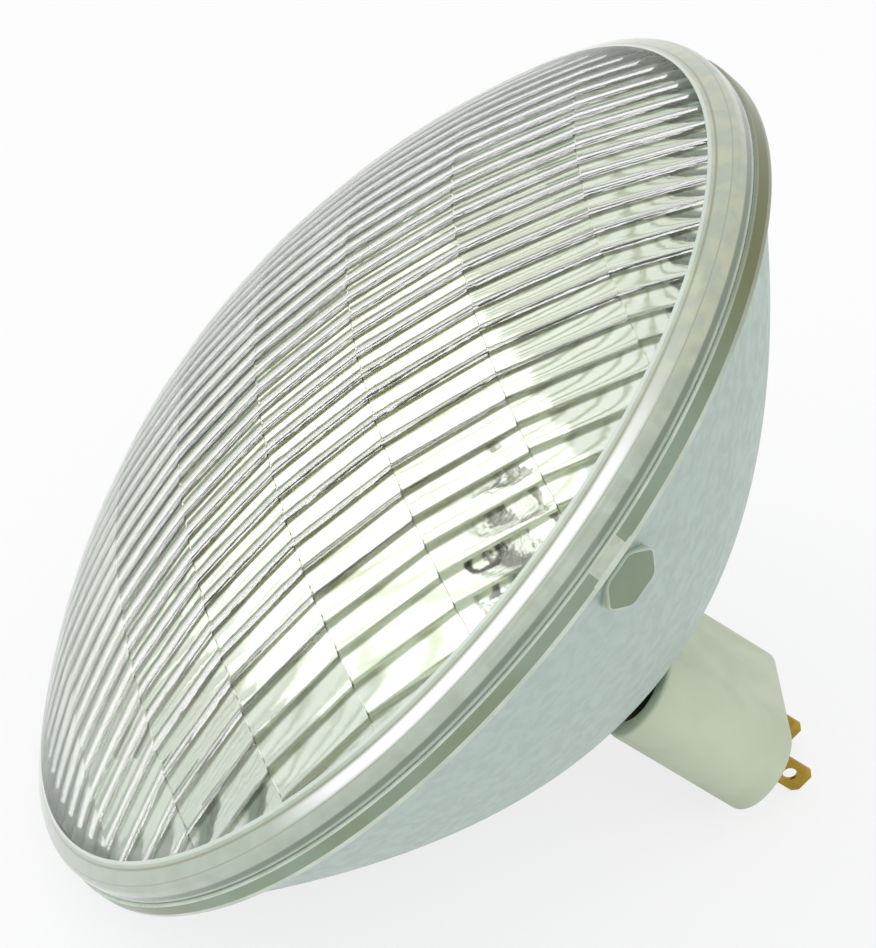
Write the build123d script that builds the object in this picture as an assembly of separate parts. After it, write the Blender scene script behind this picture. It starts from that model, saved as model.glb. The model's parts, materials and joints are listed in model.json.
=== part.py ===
from build123d import *

import math
import os

# Sealed-beam spotlight lamp: ribbed glass lens, mirrored glass bowl, quartz burner and ceramic prong base.
# Every piece is drawn about the optical axis Z, lens up, with the seam of lens and bowl at z = 0 and depths
# counted downwards from it. X runs along the ribs, Y along the long side of the base. All sizes are in mm.

# Rim, where lens and bowl are fused together
RIM_DIAMETER = 203.2
SEAL_WIDTH = 6.6
SEAL_DEPTH = 4.3
FLANGE_THICKNESS = 4.0
FLANGE_EDGE_CUT = 0.6

# Lens
LENS_SETBACK = 0.6
LENS_EDGE_HEIGHT = 4.5
LENS_EDGE_CUT = 1.0
LENS_SEAM_CUT = 0.5
DOME_RADIUS = 176.5
LENS_WALL = 4.2
RIB_DOME_INSET = 6.5
RIB_PITCH = 6.0
RIB_HEIGHT = 0.5
COLUMN_WIDTH = 24.0
COLUMN_STEP = 0.5

# Bowl: a paraboloid inside, with an even wall
BOWL_DEPTH = 65.3
BOWL_WALL = 3.0

# Flat boss at the back of the bowl, and the sealed exhaust stub in its middle
BOSS_DIAMETER = 38.0
BOSS_RISE = 1.2
BOSS_DRAFT = 1.5
STUB_DIAMETER = 4.0
STUB_LENGTH = 5.0
STUB_BORE = 1.6
STUB_TIP = 2.0
STUB_POINT = 1.2

# Locating lugs on the bowl, and the ground flats in front of them
LUG_COUNT = 3
LUG_WIDTH = 14.0
LUG_LENGTH = 7.0
LUG_END_CUT = 2.2
LUG_FRONT_DEPTH = 6.0
LUG_STAND = 3.5
LUG_EDGE_RADIUS = 0.7
FLAT_WIDTH = 11.0

# Ceramic base, held on the boss by cement: its front sits towards -X, and it leans back, in degrees
BASE_SHIFT = 1.6
BASE_LEAN = 6.0
BASE_LONG_SIDE = 45.0
BASE_SHORT_SIDE = 20.5
BASE_HEIGHT = 33.3
BASE_WALL = 3.5
BASE_END_BLOCK = 11.0
BASE_EDGE_CUT = 0.8
CEMENT_THICKNESS = 2.0
CEMENT_INSET = 0.6

# Contact blades
BLADE_SPACING = 16.0
BLADE_WIDTH = 6.4
BLADE_THICKNESS = 1.0
BLADE_REACH = 13.0
BLADE_CORNER = 1.2
BLADE_HOLE_DIAMETER = 3.0
BLADE_HOLE_SETBACK = 4.3
BLADE_HEAD_WIDTH = 10.0
BLADE_HEAD_LENGTH = 9.0
SLOT_CLEARANCE = 0.1

# Ferrules and the bent posts that pass through them
FERRULE_CLEARANCE = 0.75
FERRULE_FLANGE_THICKNESS = 0.8
FERRULE_NECK_DIAMETER = 6.0
POST_DIAMETER = 2.4
POST_BEND_RADIUS = 5.0
POST_KNEE_HEIGHT = 7.3
POST_TIP_LENGTH = 1.7
POST_END_CLEARANCE = 1.5

# Burner, lying along Y with its middle at the bowl's focus
BURNER_DIAMETER = 12.0
BURNER_WALL = 1.2
BURNER_BODY_LENGTH = 26.0
SHOULDER_LENGTH = 6.0
PINCH_LENGTH = 9.0
PINCH_WIDTH = 9.0
PINCH_THICKNESS = 3.2
TIP_OFF_DIAMETER = 3.2
TIP_OFF_POINT = 1.2
TIP_OFF_LENGTH = 3.0
COIL_DIAMETER = 4.8
COIL_LENGTH = 20.0
COIL_WALL = 0.7
LEG_DIAMETER = 0.6
LEG_SLANT = 2.5
FOIL_WIDTH = 3.0
FOIL_LENGTH = 5.0
FOIL_THICKNESS = 0.2
LEAD_DIAMETER = 1.2
LEAD_REACH = 4.0
LEAD_OVERRUN = 1.0

# Worked out from the sizes above
RIM_RADIUS = RIM_DIAMETER / 2
LENS_RADIUS = RIM_RADIUS - LENS_SETBACK
SEAL_INNER_RADIUS = RIM_RADIUS - SEAL_WIDTH
DOME_CENTRE = LENS_EDGE_HEIGHT - math.sqrt(DOME_RADIUS**2 - LENS_RADIUS**2)
RIB_DOME_RADIUS = DOME_RADIUS - RIB_DOME_INSET
RIB_DOME_TOP = DOME_CENTRE + DOME_RADIUS - LENS_WALL
BOWL_FOCAL_LENGTH = SEAL_INNER_RADIUS**2 / (4 * (BOWL_DEPTH - SEAL_DEPTH))
FOCUS_DEPTH = BOWL_DEPTH - BOWL_FOCAL_LENGTH
OUTER_VERTEX_DEPTH = BOWL_DEPTH + BOWL_WALL
BOSS_DEPTH = OUTER_VERTEX_DEPTH + BOSS_RISE
BASE_FRONT_DEPTH = BOSS_DEPTH + CEMENT_THICKNESS
BASE_END_DEPTH = BASE_FRONT_DEPTH + BASE_HEIGHT
CAVITY_END_DEPTH = BASE_END_DEPTH - BASE_END_BLOCK
BLADE_TIP_DEPTH = BASE_END_DEPTH + BLADE_REACH
BLADE_OFFSET = BLADE_SPACING / 2
FERRULE_FLANGE_RADIUS = BASE_SHORT_SIDE / 2 - BASE_WALL - BASE_SHIFT - FERRULE_CLEARANCE
POST_OFFSET = BLADE_OFFSET + BLADE_THICKNESS / 2 + POST_DIAMETER / 2
POST_KNEE_DEPTH = BOWL_DEPTH - POST_KNEE_HEIGHT
PINCH_END = BURNER_BODY_LENGTH / 2 + SHOULDER_LENGTH + PINCH_LENGTH
POST_TIP_OFFSET = PINCH_END + LEAD_REACH
FOIL_MIDDLE = PINCH_END - PINCH_LENGTH / 2
SIDES = {"left": 1, "right": -1}


def cut_back(face, length, *corners):
    """Cuts off the corners of a flat outline that lie nearest to the given points."""
    picked = [face.vertices().sort_by_distance(corner)[0] for corner in corners]
    return chamfer(picked, length)


def turned(outline):
    """Turns an outline of (radius, height) about the optical axis."""
    return revolve(Plane.XZ * outline, Axis.Z)


def dome_height(radius):
    """Height of the lens's outside at a distance from the axis."""
    return DOME_CENTRE + math.sqrt(DOME_RADIUS**2 - radius**2)


def parabola_depth(radius, focal_length, vertex_depth):
    """Depth of a paraboloid at a distance from the axis."""
    return vertex_depth - radius**2 / (4 * focal_length)


def parabola_arc(outer_radius, inner_radius, focal_length, vertex_depth):
    """Exact arc of a parabola, as the curve through its two ends and the crossing of its end tangents."""
    outer_point = (outer_radius, -parabola_depth(outer_radius, focal_length, vertex_depth))
    inner_point = (inner_radius, -parabola_depth(inner_radius, focal_length, vertex_depth))
    crossing_depth = vertex_depth - outer_radius * inner_radius / (4 * focal_length)
    crossing = ((outer_radius + inner_radius) / 2, -crossing_depth)
    return Bezier(outer_point, crossing, inner_point)


def outer_focal_length():
    """Focal length of the bowl's outside, which lies one wall away from the inside at vertex and seal."""
    slope_length = math.hypot(SEAL_INNER_RADIUS, 2 * BOWL_FOCAL_LENGTH)
    edge_radius = SEAL_INNER_RADIUS + BOWL_WALL * SEAL_INNER_RADIUS / slope_length
    edge_depth = SEAL_DEPTH + BOWL_WALL * 2 * BOWL_FOCAL_LENGTH / slope_length
    return edge_radius**2 / (4 * (OUTER_VERTEX_DEPTH - edge_depth))


def bowl_radius(depth):
    """Distance of the bowl's outside from the axis, at a depth."""
    return math.sqrt(4 * outer_focal_length() * (OUTER_VERTEX_DEPTH - depth))


def lug_face_radius():
    """Distance of a lug's flat face from the axis."""
    return bowl_radius(LUG_FRONT_DEPTH + LUG_LENGTH / 2) + LUG_STAND


def rib_drop(distance):
    """Fall of the ribbed inside at a distance from the lens's middle, along or across the ribs."""
    return RIB_DOME_RADIUS - math.sqrt(RIB_DOME_RADIUS**2 - distance**2)


def rib_section(slope):
    """Space under a sloping column of ribs, cut square across it, as (place across, height)."""
    count = math.ceil(SEAL_INNER_RADIUS / RIB_PITCH)
    valleys = [index * RIB_PITCH for index in range(-count, count + 1)]
    edges = []
    for low, high in zip(valleys, valleys[1:]):
        middle = (low + high) / 2
        start = (low, -rib_drop(low) * math.cos(slope))
        crest = (middle, -(rib_drop(middle) + RIB_HEIGHT) * math.cos(slope))
        end = (high, -rib_drop(high) * math.cos(slope))
        edges.append(ThreePointArc(start, crest, end))
    first = edges[0] @ 0
    last = edges[-1] @ 1
    edges.append(Polyline(last, (valleys[-1], -RIM_RADIUS), (valleys[0], -RIM_RADIUS), first))
    return make_face(edges)


def rib_column(low):
    """Space under one column of ribs: straight along the ribs, with half a step at each side."""
    high = low + COLUMN_WIDTH
    middle = (low + high) / 2
    fall = rib_drop(high) - rib_drop(low) + COLUMN_STEP
    slope = math.atan2(fall, COLUMN_WIDTH)
    height = RIB_DOME_TOP - (rib_drop(low) + rib_drop(high)) / 2
    across = Plane((middle, 0, height), x_dir=(0, 1, 0), z_dir=(math.cos(slope), 0, -math.sin(slope)))
    band = extrude(across * rib_section(slope), amount=COLUMN_WIDTH, both=True)
    slab = Pos(middle, 0, 0) * Box(COLUMN_WIDTH, 2 * RIM_DIAMETER, 2 * RIM_DIAMETER)
    return band & slab


def lens():
    """Pressed dome, smooth outside, with ribs in stepped columns inside and a solid edge around them."""
    dome_top = (0, dome_height(0))
    half_way = LENS_RADIUS / 2
    outside = ThreePointArc((LENS_RADIUS, LENS_EDGE_HEIGHT), (half_way, dome_height(half_way)), dome_top)
    profile = make_face(Polyline(dome_top, (0, 0), (LENS_RADIUS, 0), outside @ 0) + outside)
    profile = cut_back(profile, LENS_EDGE_CUT, (LENS_RADIUS, LENS_EDGE_HEIGHT))
    profile = cut_back(profile, LENS_SEAM_CUT, (LENS_RADIUS, 0))
    body = turned(profile)
    inside = Cylinder(SEAL_INNER_RADIUS, 2 * RIM_DIAMETER)
    count = math.ceil(SEAL_INNER_RADIUS / COLUMN_WIDTH)
    for index in range(-count, count):
        body -= rib_column(index * COLUMN_WIDTH) & inside
    return body


def lug():
    """One locating lug on the +X side, from inside the bowl's wall out to its flat face."""
    half_width = LUG_WIDTH / 2
    half_length = LUG_LENGTH / 2
    shoulder = half_width - LUG_END_CUT
    outline = make_face(
        Polyline(
            (half_width, 0),
            (shoulder, half_length),
            (-shoulder, half_length),
            (-half_width, 0),
            (-shoulder, -half_length),
            (shoulder, -half_length),
            close=True,
        )
    )
    face_radius = lug_face_radius()
    face_plane = Plane((face_radius, 0, -LUG_FRONT_DEPTH - half_length), x_dir=(0, 1, 0), z_dir=(1, 0, 0))
    root_radius = bowl_radius(LUG_FRONT_DEPTH + LUG_LENGTH) - BOWL_WALL
    block = extrude(face_plane * outline, amount=root_radius - face_radius)
    face_edges = block.faces().sort_by(Axis.X)[-1].edges()
    return fillet(face_edges, LUG_EDGE_RADIUS)


def reflector():
    """Pressed bowl with its edge flange, lugs, flats, back boss and sealed exhaust stub."""
    boss_radius = BOSS_DIAMETER / 2
    boss_foot = boss_radius + BOSS_DRAFT
    flange_foot = bowl_radius(FLANGE_THICKNESS)
    outside = parabola_arc(flange_foot, boss_foot, outer_focal_length(), OUTER_VERTEX_DEPTH)
    profile = make_face(
        Polyline((0, 0), (RIM_RADIUS, 0), (RIM_RADIUS, -FLANGE_THICKNESS), outside @ 0)
        + outside
        + Polyline(outside @ 1, (boss_radius, -BOSS_DEPTH), (0, -BOSS_DEPTH), (0, 0))
    )
    profile = cut_back(profile, FLANGE_EDGE_CUT, (RIM_RADIUS, 0), (RIM_RADIUS, -FLANGE_THICKNESS))
    inside = parabola_arc(SEAL_INNER_RADIUS, 0, BOWL_FOCAL_LENGTH, BOWL_DEPTH)
    hollow = make_face(Polyline(inside @ 1, (0, 0), (SEAL_INNER_RADIUS, 0), inside @ 0) + inside)

    body = turned(profile)
    flat_radius = math.sqrt(RIM_RADIUS**2 - (FLAT_WIDTH / 2) ** 2)
    flat_cut = Pos(flat_radius, 0, 0) * Box(
        RIM_RADIUS - flat_radius,
        FLAT_WIDTH,
        2 * FLANGE_THICKNESS,
        align=(Align.MIN, Align.CENTER, Align.CENTER),
    )
    for index in range(LUG_COUNT):
        turn = Rot(0, 0, 180 + index * 360 / LUG_COUNT)
        body += turn * lug()
        body -= turn * flat_cut
    stub_outline = Polyline(
        (0, -BOSS_DEPTH),
        (STUB_DIAMETER / 2, -BOSS_DEPTH),
        (STUB_DIAMETER / 2, -BOSS_DEPTH - STUB_LENGTH + STUB_TIP),
        (STUB_POINT / 2, -BOSS_DEPTH - STUB_LENGTH),
        (0, -BOSS_DEPTH - STUB_LENGTH),
        close=True,
    )
    body += turned(make_face(stub_outline))
    body -= turned(hollow)
    bore_end = BOSS_DEPTH + STUB_LENGTH - STUB_TIP
    body -= Pos(0, 0, -bore_end) * Cylinder(
        STUB_BORE / 2, bore_end, align=(Align.CENTER, Align.CENTER, Align.MIN)
    )
    ferrule_hole = Cylinder(FERRULE_NECK_DIAMETER / 2, 2 * BOSS_DEPTH)
    for side in SIDES.values():
        body -= Pos(0, side * POST_OFFSET, -BOSS_DEPTH) * ferrule_hole
    return body


def base_seat():
    """Place of the leaning base on the boss."""
    return Pos(-BASE_SHIFT, 0, -BOSS_DEPTH) * Rot(0, -BASE_LEAN, 0) * Pos(0, 0, BOSS_DEPTH)


def oblong(inset):
    """Outline of the base, moved in by a distance."""
    return SlotOverall(BASE_LONG_SIDE - 2 * inset, BASE_SHORT_SIDE - 2 * inset, rotation=90)


def ceramic_base():
    """Oblong block, hollow in front, with a slot through its end block for each blade."""
    body = extrude(Pos(0, 0, -BASE_FRONT_DEPTH) * oblong(0), amount=-BASE_HEIGHT)
    rims = body.edges().filter_by(Plane.XY)
    body = chamfer(rims, BASE_EDGE_CUT)
    cavity_depth = BASE_HEIGHT - BASE_END_BLOCK
    body -= extrude(Pos(0, 0, -BASE_FRONT_DEPTH) * oblong(BASE_WALL), amount=-cavity_depth)
    slot = Box(
        BLADE_WIDTH + 2 * SLOT_CLEARANCE,
        BLADE_THICKNESS + 2 * SLOT_CLEARANCE,
        BASE_END_BLOCK,
        align=(Align.CENTER, Align.CENTER, Align.MIN),
    )
    for side in SIDES.values():
        body -= Pos(0, side * BLADE_OFFSET, -BASE_END_DEPTH) * slot
    return body


def basing_cement():
    """Beads of cement that fill the gap between the boss and the front of the base's two long walls."""
    outline = oblong(CEMENT_INSET) - oblong(BASE_WALL)
    strips = base_seat() * extrude(Pos(0, 0, -BASE_FRONT_DEPTH) * outline, amount=BOSS_DIAMETER)
    boss_room = Cylinder(
        BOSS_DIAMETER / 2 - CEMENT_INSET, BASE_HEIGHT, align=(Align.CENTER, Align.CENTER, Align.MAX)
    )
    return strips & Pos(0, 0, -BOSS_DEPTH) * boss_room


def contact_blade(side):
    """Flat blade with cut corners and a hole, and a wide head that stops against the cavity's end."""
    half_width = BLADE_WIDTH / 2
    half_head = BLADE_HEAD_WIDTH / 2
    tip = -BLADE_TIP_DEPTH
    stop = -CAVITY_END_DEPTH
    head = stop + BLADE_HEAD_LENGTH
    outline = make_face(
        Polyline(
            (half_head, head),
            (half_head, stop),
            (half_width, stop),
            (half_width, tip + BLADE_CORNER),
            (half_width - BLADE_CORNER, tip),
            (BLADE_CORNER - half_width, tip),
            (-half_width, tip + BLADE_CORNER),
            (-half_width, stop),
            (-half_head, stop),
            (-half_head, head),
            close=True,
        )
    )
    outline -= Pos(0, tip + BLADE_HOLE_SETBACK) * Circle(BLADE_HOLE_DIAMETER / 2)
    plate = extrude(Plane.XZ * outline, amount=BLADE_THICKNESS / 2, both=True)
    return Pos(0, side * BLADE_OFFSET, 0) * plate


def ferrule(side):
    """Flanged bush in the back of the bowl, bored for its post."""
    flange = Cylinder(
        FERRULE_FLANGE_RADIUS, FERRULE_FLANGE_THICKNESS, align=(Align.CENTER, Align.CENTER, Align.MAX)
    )
    wall = BOSS_DEPTH - parabola_depth(POST_OFFSET, BOWL_FOCAL_LENGTH, BOWL_DEPTH)
    neck = Cylinder(FERRULE_NECK_DIAMETER / 2, wall, align=(Align.CENTER, Align.CENTER, Align.MIN))
    bush = flange + neck - Cylinder(POST_DIAMETER / 2, 2 * BOSS_DEPTH)
    return Pos(0, side * POST_OFFSET, -BOSS_DEPTH) * bush


def support_post(side):
    """Bent rod from beside the blade's head, through the ferrule, to the burner's lead."""
    foot = Vector(0, side * POST_OFFSET, -CAVITY_END_DEPTH + POST_END_CLEARANCE)
    knee = Vector(0, side * POST_OFFSET, -POST_KNEE_DEPTH)
    eye_middle = Vector(0, side * POST_TIP_OFFSET, -FOCUS_DEPTH)
    tip = eye_middle + (eye_middle - knee).normalized() * POST_TIP_LENGTH
    path = FilletPolyline(foot, knee, tip, radius=POST_BEND_RADIUS)
    rod = sweep(Plane(path @ 0, z_dir=path % 0) * Circle(POST_DIAMETER / 2), path=path)
    eye = Rot(90, 0, 0) * Cylinder(LEAD_DIAMETER / 2, 3 * POST_DIAMETER)
    return rod - Pos(eye_middle) * eye


def foil(side):
    """Thin foil in the middle of a pinch seal."""
    return Pos(0, side * FOIL_MIDDLE, -FOCUS_DEPTH) * Box(FOIL_WIDTH, FOIL_LENGTH, FOIL_THICKNESS)


def burner_lead(side):
    """Wire from the foil's outer end, out of the pinch and through the post's tip."""
    start = FOIL_MIDDLE + FOIL_LENGTH / 2
    end = POST_TIP_OFFSET + POST_DIAMETER + LEAD_OVERRUN
    wire = Rot(-90, 0, 0) * Cylinder(
        LEAD_DIAMETER / 2, end - start, align=(Align.CENTER, Align.CENTER, Align.MIN)
    )
    placed = Pos(0, start, -FOCUS_DEPTH) * wire
    return placed if side > 0 else mirror(placed, Plane.XZ)


def filament():
    """Outer form of the coil, with a leg from each end to its foil."""
    coil = Cylinder(COIL_DIAMETER / 2, COIL_LENGTH) - Cylinder(COIL_DIAMETER / 2 - COIL_WALL, COIL_LENGTH)
    coil = Pos(0, 0, -FOCUS_DEPTH) * Rot(90, 0, 0) * coil
    wire_offset = (COIL_DIAMETER - COIL_WALL) / 2
    coil_end = COIL_LENGTH / 2
    foil_end = FOIL_MIDDLE - FOIL_LENGTH / 2
    path = Polyline(
        (0, coil_end - COIL_WALL / 2, wire_offset - FOCUS_DEPTH),
        (0, coil_end + LEG_SLANT, -FOCUS_DEPTH),
        (0, foil_end, -FOCUS_DEPTH),
    )
    start = Plane(path @ 0, z_dir=path % 0)
    leg = sweep(start * Circle(LEG_DIAMETER / 2), path=path, transition=Transition.RIGHT)
    return coil + leg + mirror(leg, Plane.XZ)


def burner_outline(radius, end_radius, shoulder):
    """Half outline of the burner's round body, with a tapered shoulder at each end."""
    half_body = BURNER_BODY_LENGTH / 2
    end = half_body + shoulder
    return make_face(
        Polyline(
            (0, -end),
            (end_radius, -end),
            (radius, -half_body),
            (radius, half_body),
            (end_radius, end),
            (0, end),
            close=True,
        )
    )


def burner_envelope(enclosed):
    """Quartz tube with tapered ends, flat pinch seals about the metal in them and a tip-off at its back."""
    radius = BURNER_DIAMETER / 2
    half_body = BURNER_BODY_LENGTH / 2
    body = revolve(burner_outline(radius, PINCH_THICKNESS / 2, SHOULDER_LENGTH), Axis.Y)
    inner_shoulder = SHOULDER_LENGTH - 2 * BURNER_WALL
    space = revolve(burner_outline(radius - BURNER_WALL, LEG_DIAMETER, inner_shoulder), Axis.Y)
    for side in SIDES.values():
        body += Pos(0, side * (half_body + PINCH_END) / 2, 0) * Box(
            PINCH_WIDTH, PINCH_END - half_body, PINCH_THICKNESS
        )
    body += Pos(0, 0, BURNER_WALL / 2 - radius) * Cone(
        TIP_OFF_POINT / 2,
        TIP_OFF_DIAMETER / 2,
        TIP_OFF_LENGTH + BURNER_WALL / 2,
        align=(Align.CENTER, Align.CENTER, Align.MAX),
    )
    quartz = Pos(0, 0, -FOCUS_DEPTH) * (body - space)
    for piece in enclosed:
        quartz -= piece
    return quartz


def rest_angle():
    """Lean of the optical axis when the lamp lies on its lowest lug and on the blades or the base's end."""
    lug_depth = LUG_FRONT_DEPTH + LUG_LENGTH - LUG_EDGE_RADIUS
    lug_radius = lug_face_radius() - LUG_EDGE_RADIUS
    low_corners = [
        (BLADE_TIP_DEPTH - BLADE_CORNER, BLADE_WIDTH / 2),
        (BLADE_TIP_DEPTH, BLADE_WIDTH / 2 - BLADE_CORNER),
        (BASE_END_DEPTH, BASE_SHORT_SIDE / 2 - BASE_EDGE_CUT),
        (BASE_END_DEPTH - BASE_EDGE_CUT, BASE_SHORT_SIDE / 2),
    ]
    angles = []
    for depth, radius in low_corners:
        corner = (base_seat() * Pos(-radius, 0, -depth)).position
        run = -corner.Z - lug_depth
        drop = lug_radius + corner.X
        angles.append(math.atan2(drop, run) + math.asin(LUG_EDGE_RADIUS / math.hypot(run, drop)))
    return min(angles)


def assemble():
    """Every piece by its name, still about the optical axis."""
    pieces = {
        "lens": lens(),
        "reflector": reflector(),
        "ceramic_base": base_seat() * ceramic_base(),
        "basing_cement": basing_cement(),
        "filament": filament(),
    }
    for name, side in SIDES.items():
        pieces[f"contact_blade_{name}"] = base_seat() * contact_blade(side)
        pieces[f"ferrule_{name}"] = ferrule(side)
        pieces[f"support_post_{name}"] = support_post(side)
        pieces[f"foil_{name}"] = foil(side)
        pieces[f"burner_lead_{name}"] = burner_lead(side)
    sealed_in = ("filament", "foil", "burner_lead")
    metal = [piece for name, piece in pieces.items() if name.startswith(sealed_in)]
    pieces["burner_envelope"] = burner_envelope(metal)
    return pieces


def lay_down(pieces):
    """Leans every piece back to its resting angle, with the origin at the middle of the floor under it."""
    angle = rest_angle()
    along_ribs = (0, math.sin(angle), math.cos(angle))
    lens_direction = (0, -math.cos(angle), math.sin(angle))
    leaning = Plane((0, 0, 0), x_dir=along_ribs, z_dir=lens_direction)
    leaned = {name: leaning.location * piece for name, piece in pieces.items()}
    boxes = [piece.bounding_box() for piece in leaned.values()]
    front = min(box.min.Y for box in boxes)
    back = max(box.max.Y for box in boxes)
    floor = min(box.min.Z for box in boxes)
    shift = Pos(0, -(front + back) / 2, -floor)
    return {name: shift * piece for name, piece in leaned.items()}


os.makedirs("parts", exist_ok=True)
for node, shape in lay_down(assemble()).items():
    export_step(shape, f"parts/{node}.step")
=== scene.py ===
"""Dresses the spotlight bulb: ribbed lens, mirrored bowl, ceramic base, brass blades and quartz burner."""
import itertools
import json
import logging
import math
from contextlib import contextmanager
from dataclasses import dataclass, field, replace
from enum import Enum, IntEnum
from typing import Callable, Iterator, Sequence

import bmesh
import bpy
from mathutils import Euler, Matrix, Vector


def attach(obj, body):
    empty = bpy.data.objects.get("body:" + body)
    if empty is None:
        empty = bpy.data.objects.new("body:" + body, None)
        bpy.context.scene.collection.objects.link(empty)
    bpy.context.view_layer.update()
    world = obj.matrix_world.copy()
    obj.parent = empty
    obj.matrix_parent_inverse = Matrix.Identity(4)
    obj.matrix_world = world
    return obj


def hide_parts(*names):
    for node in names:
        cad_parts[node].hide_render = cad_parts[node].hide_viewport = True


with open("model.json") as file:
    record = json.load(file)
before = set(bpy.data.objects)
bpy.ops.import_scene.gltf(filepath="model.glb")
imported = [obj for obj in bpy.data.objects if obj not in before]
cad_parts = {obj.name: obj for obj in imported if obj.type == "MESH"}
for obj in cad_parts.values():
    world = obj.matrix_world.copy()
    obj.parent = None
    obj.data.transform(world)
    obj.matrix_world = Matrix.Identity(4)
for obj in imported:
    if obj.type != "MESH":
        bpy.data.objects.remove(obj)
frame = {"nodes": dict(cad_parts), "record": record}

LOG = logging.getLogger("spotlight_bulb")
MM = 0.001
FULL_TURN = 2 * math.pi
ROOT_BODY = "root"
RIB_PITCH = 6.0
COLUMN_WIDTH = 24.0
SEAL_RADIUS = 95.0
BLADE_OFFSET = 8.0

Point = tuple[float, float]
Colour = tuple[float, float, float, float]
Test = Callable[[Vector, Vector], bool]


class Cut(Enum):
    """What a second shape does to the first."""

    JOIN = "UNION"
    REMOVE = "DIFFERENCE"
    KEEP = "INTERSECT"


class Pick(Enum):
    """Which parts of a mesh are selected."""

    VERT = "VERT"
    EDGE = "EDGE"
    FACE = "FACE"


class Side(Enum):
    """The two blades, posts and leads, by the sign of their place along the base's long side."""

    LEFT = 1
    RIGHT = -1

    @property
    def word(self) -> str:
        """The side's word in the names of the pieces."""
        return self.name.lower()


class LensSkin(IntEnum):
    """The lens's finishes, by their place in its list of materials."""

    CLEAR = 0
    RIBS = 1
    BORDER = 2
    MILKY_RIBS = 3


class BowlSkin(IntEnum):
    """The bowl's finishes, by their place in its list of materials."""

    BACK = 0
    FILM = 1
    RIM = 2
    FLAT = 3
    # Painted highlight on the rim's rounded edges and the lugs' sides.
    EDGE = 4


@dataclass(frozen=True)
class LampPlace:
    """How the lamp lies: its own frame has the lens up, the ribs along X and the seam at height 0."""

    seam: Vector
    lens_way: Vector

    @classmethod
    def from_record(cls, record: dict, flange_thickness: float) -> "LampPlace":
        """Reads the place from the rim mount, which stands in the middle of the flange.

        Args:
            record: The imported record.
            flange_thickness: Thickness of the bowl's flange, in mm.

        Returns:
            The place of the lamp.
        """
        rim = next(mount for mount in record["mounts"] if mount["name"] == "rim")
        lens_way = Vector(rim["axis"]).normalized()
        return cls(Vector(rim["pos_m"]) + lens_way * (flange_thickness / 2 * MM), lens_way)

    def turn(self) -> Matrix:
        """Turns the lamp's frame into the part's frame.

        Returns:
            The lamp's axes as columns: along the ribs, along the base's long side, and out of the lens.
        """
        long_side = Vector((-1, 0, 0))
        rib_way = long_side.cross(self.lens_way)
        return Matrix((rib_way, long_side, self.lens_way)).transposed()

    def from_lamp(self) -> Matrix:
        """Takes millimetres in the lamp's frame to metres in the part's frame."""
        return Matrix.Translation(self.seam) @ self.turn().to_4x4() @ Matrix.Scale(MM, 4)

    def to_lamp_turn(self) -> Euler:
        """Turn of a Mapping node that gives back the lamp's frame."""
        return self.turn().transposed().to_euler()

    def to_lamp_shift(self) -> Vector:
        """Shift, in mm, of a Mapping node that gives back the lamp's frame."""
        return -(self.turn().transposed() @ self.seam) / MM


@contextmanager
def editing(piece: bpy.types.Object) -> Iterator[None]:
    """Holds a piece in edit mode.

    Args:
        piece: The piece to shape.

    Yields:
        Nothing, while the piece is in edit mode.
    """
    Bench.hold(piece)
    bpy.ops.object.mode_set(mode="EDIT")
    yield
    bpy.ops.object.mode_set(mode="OBJECT")


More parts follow.
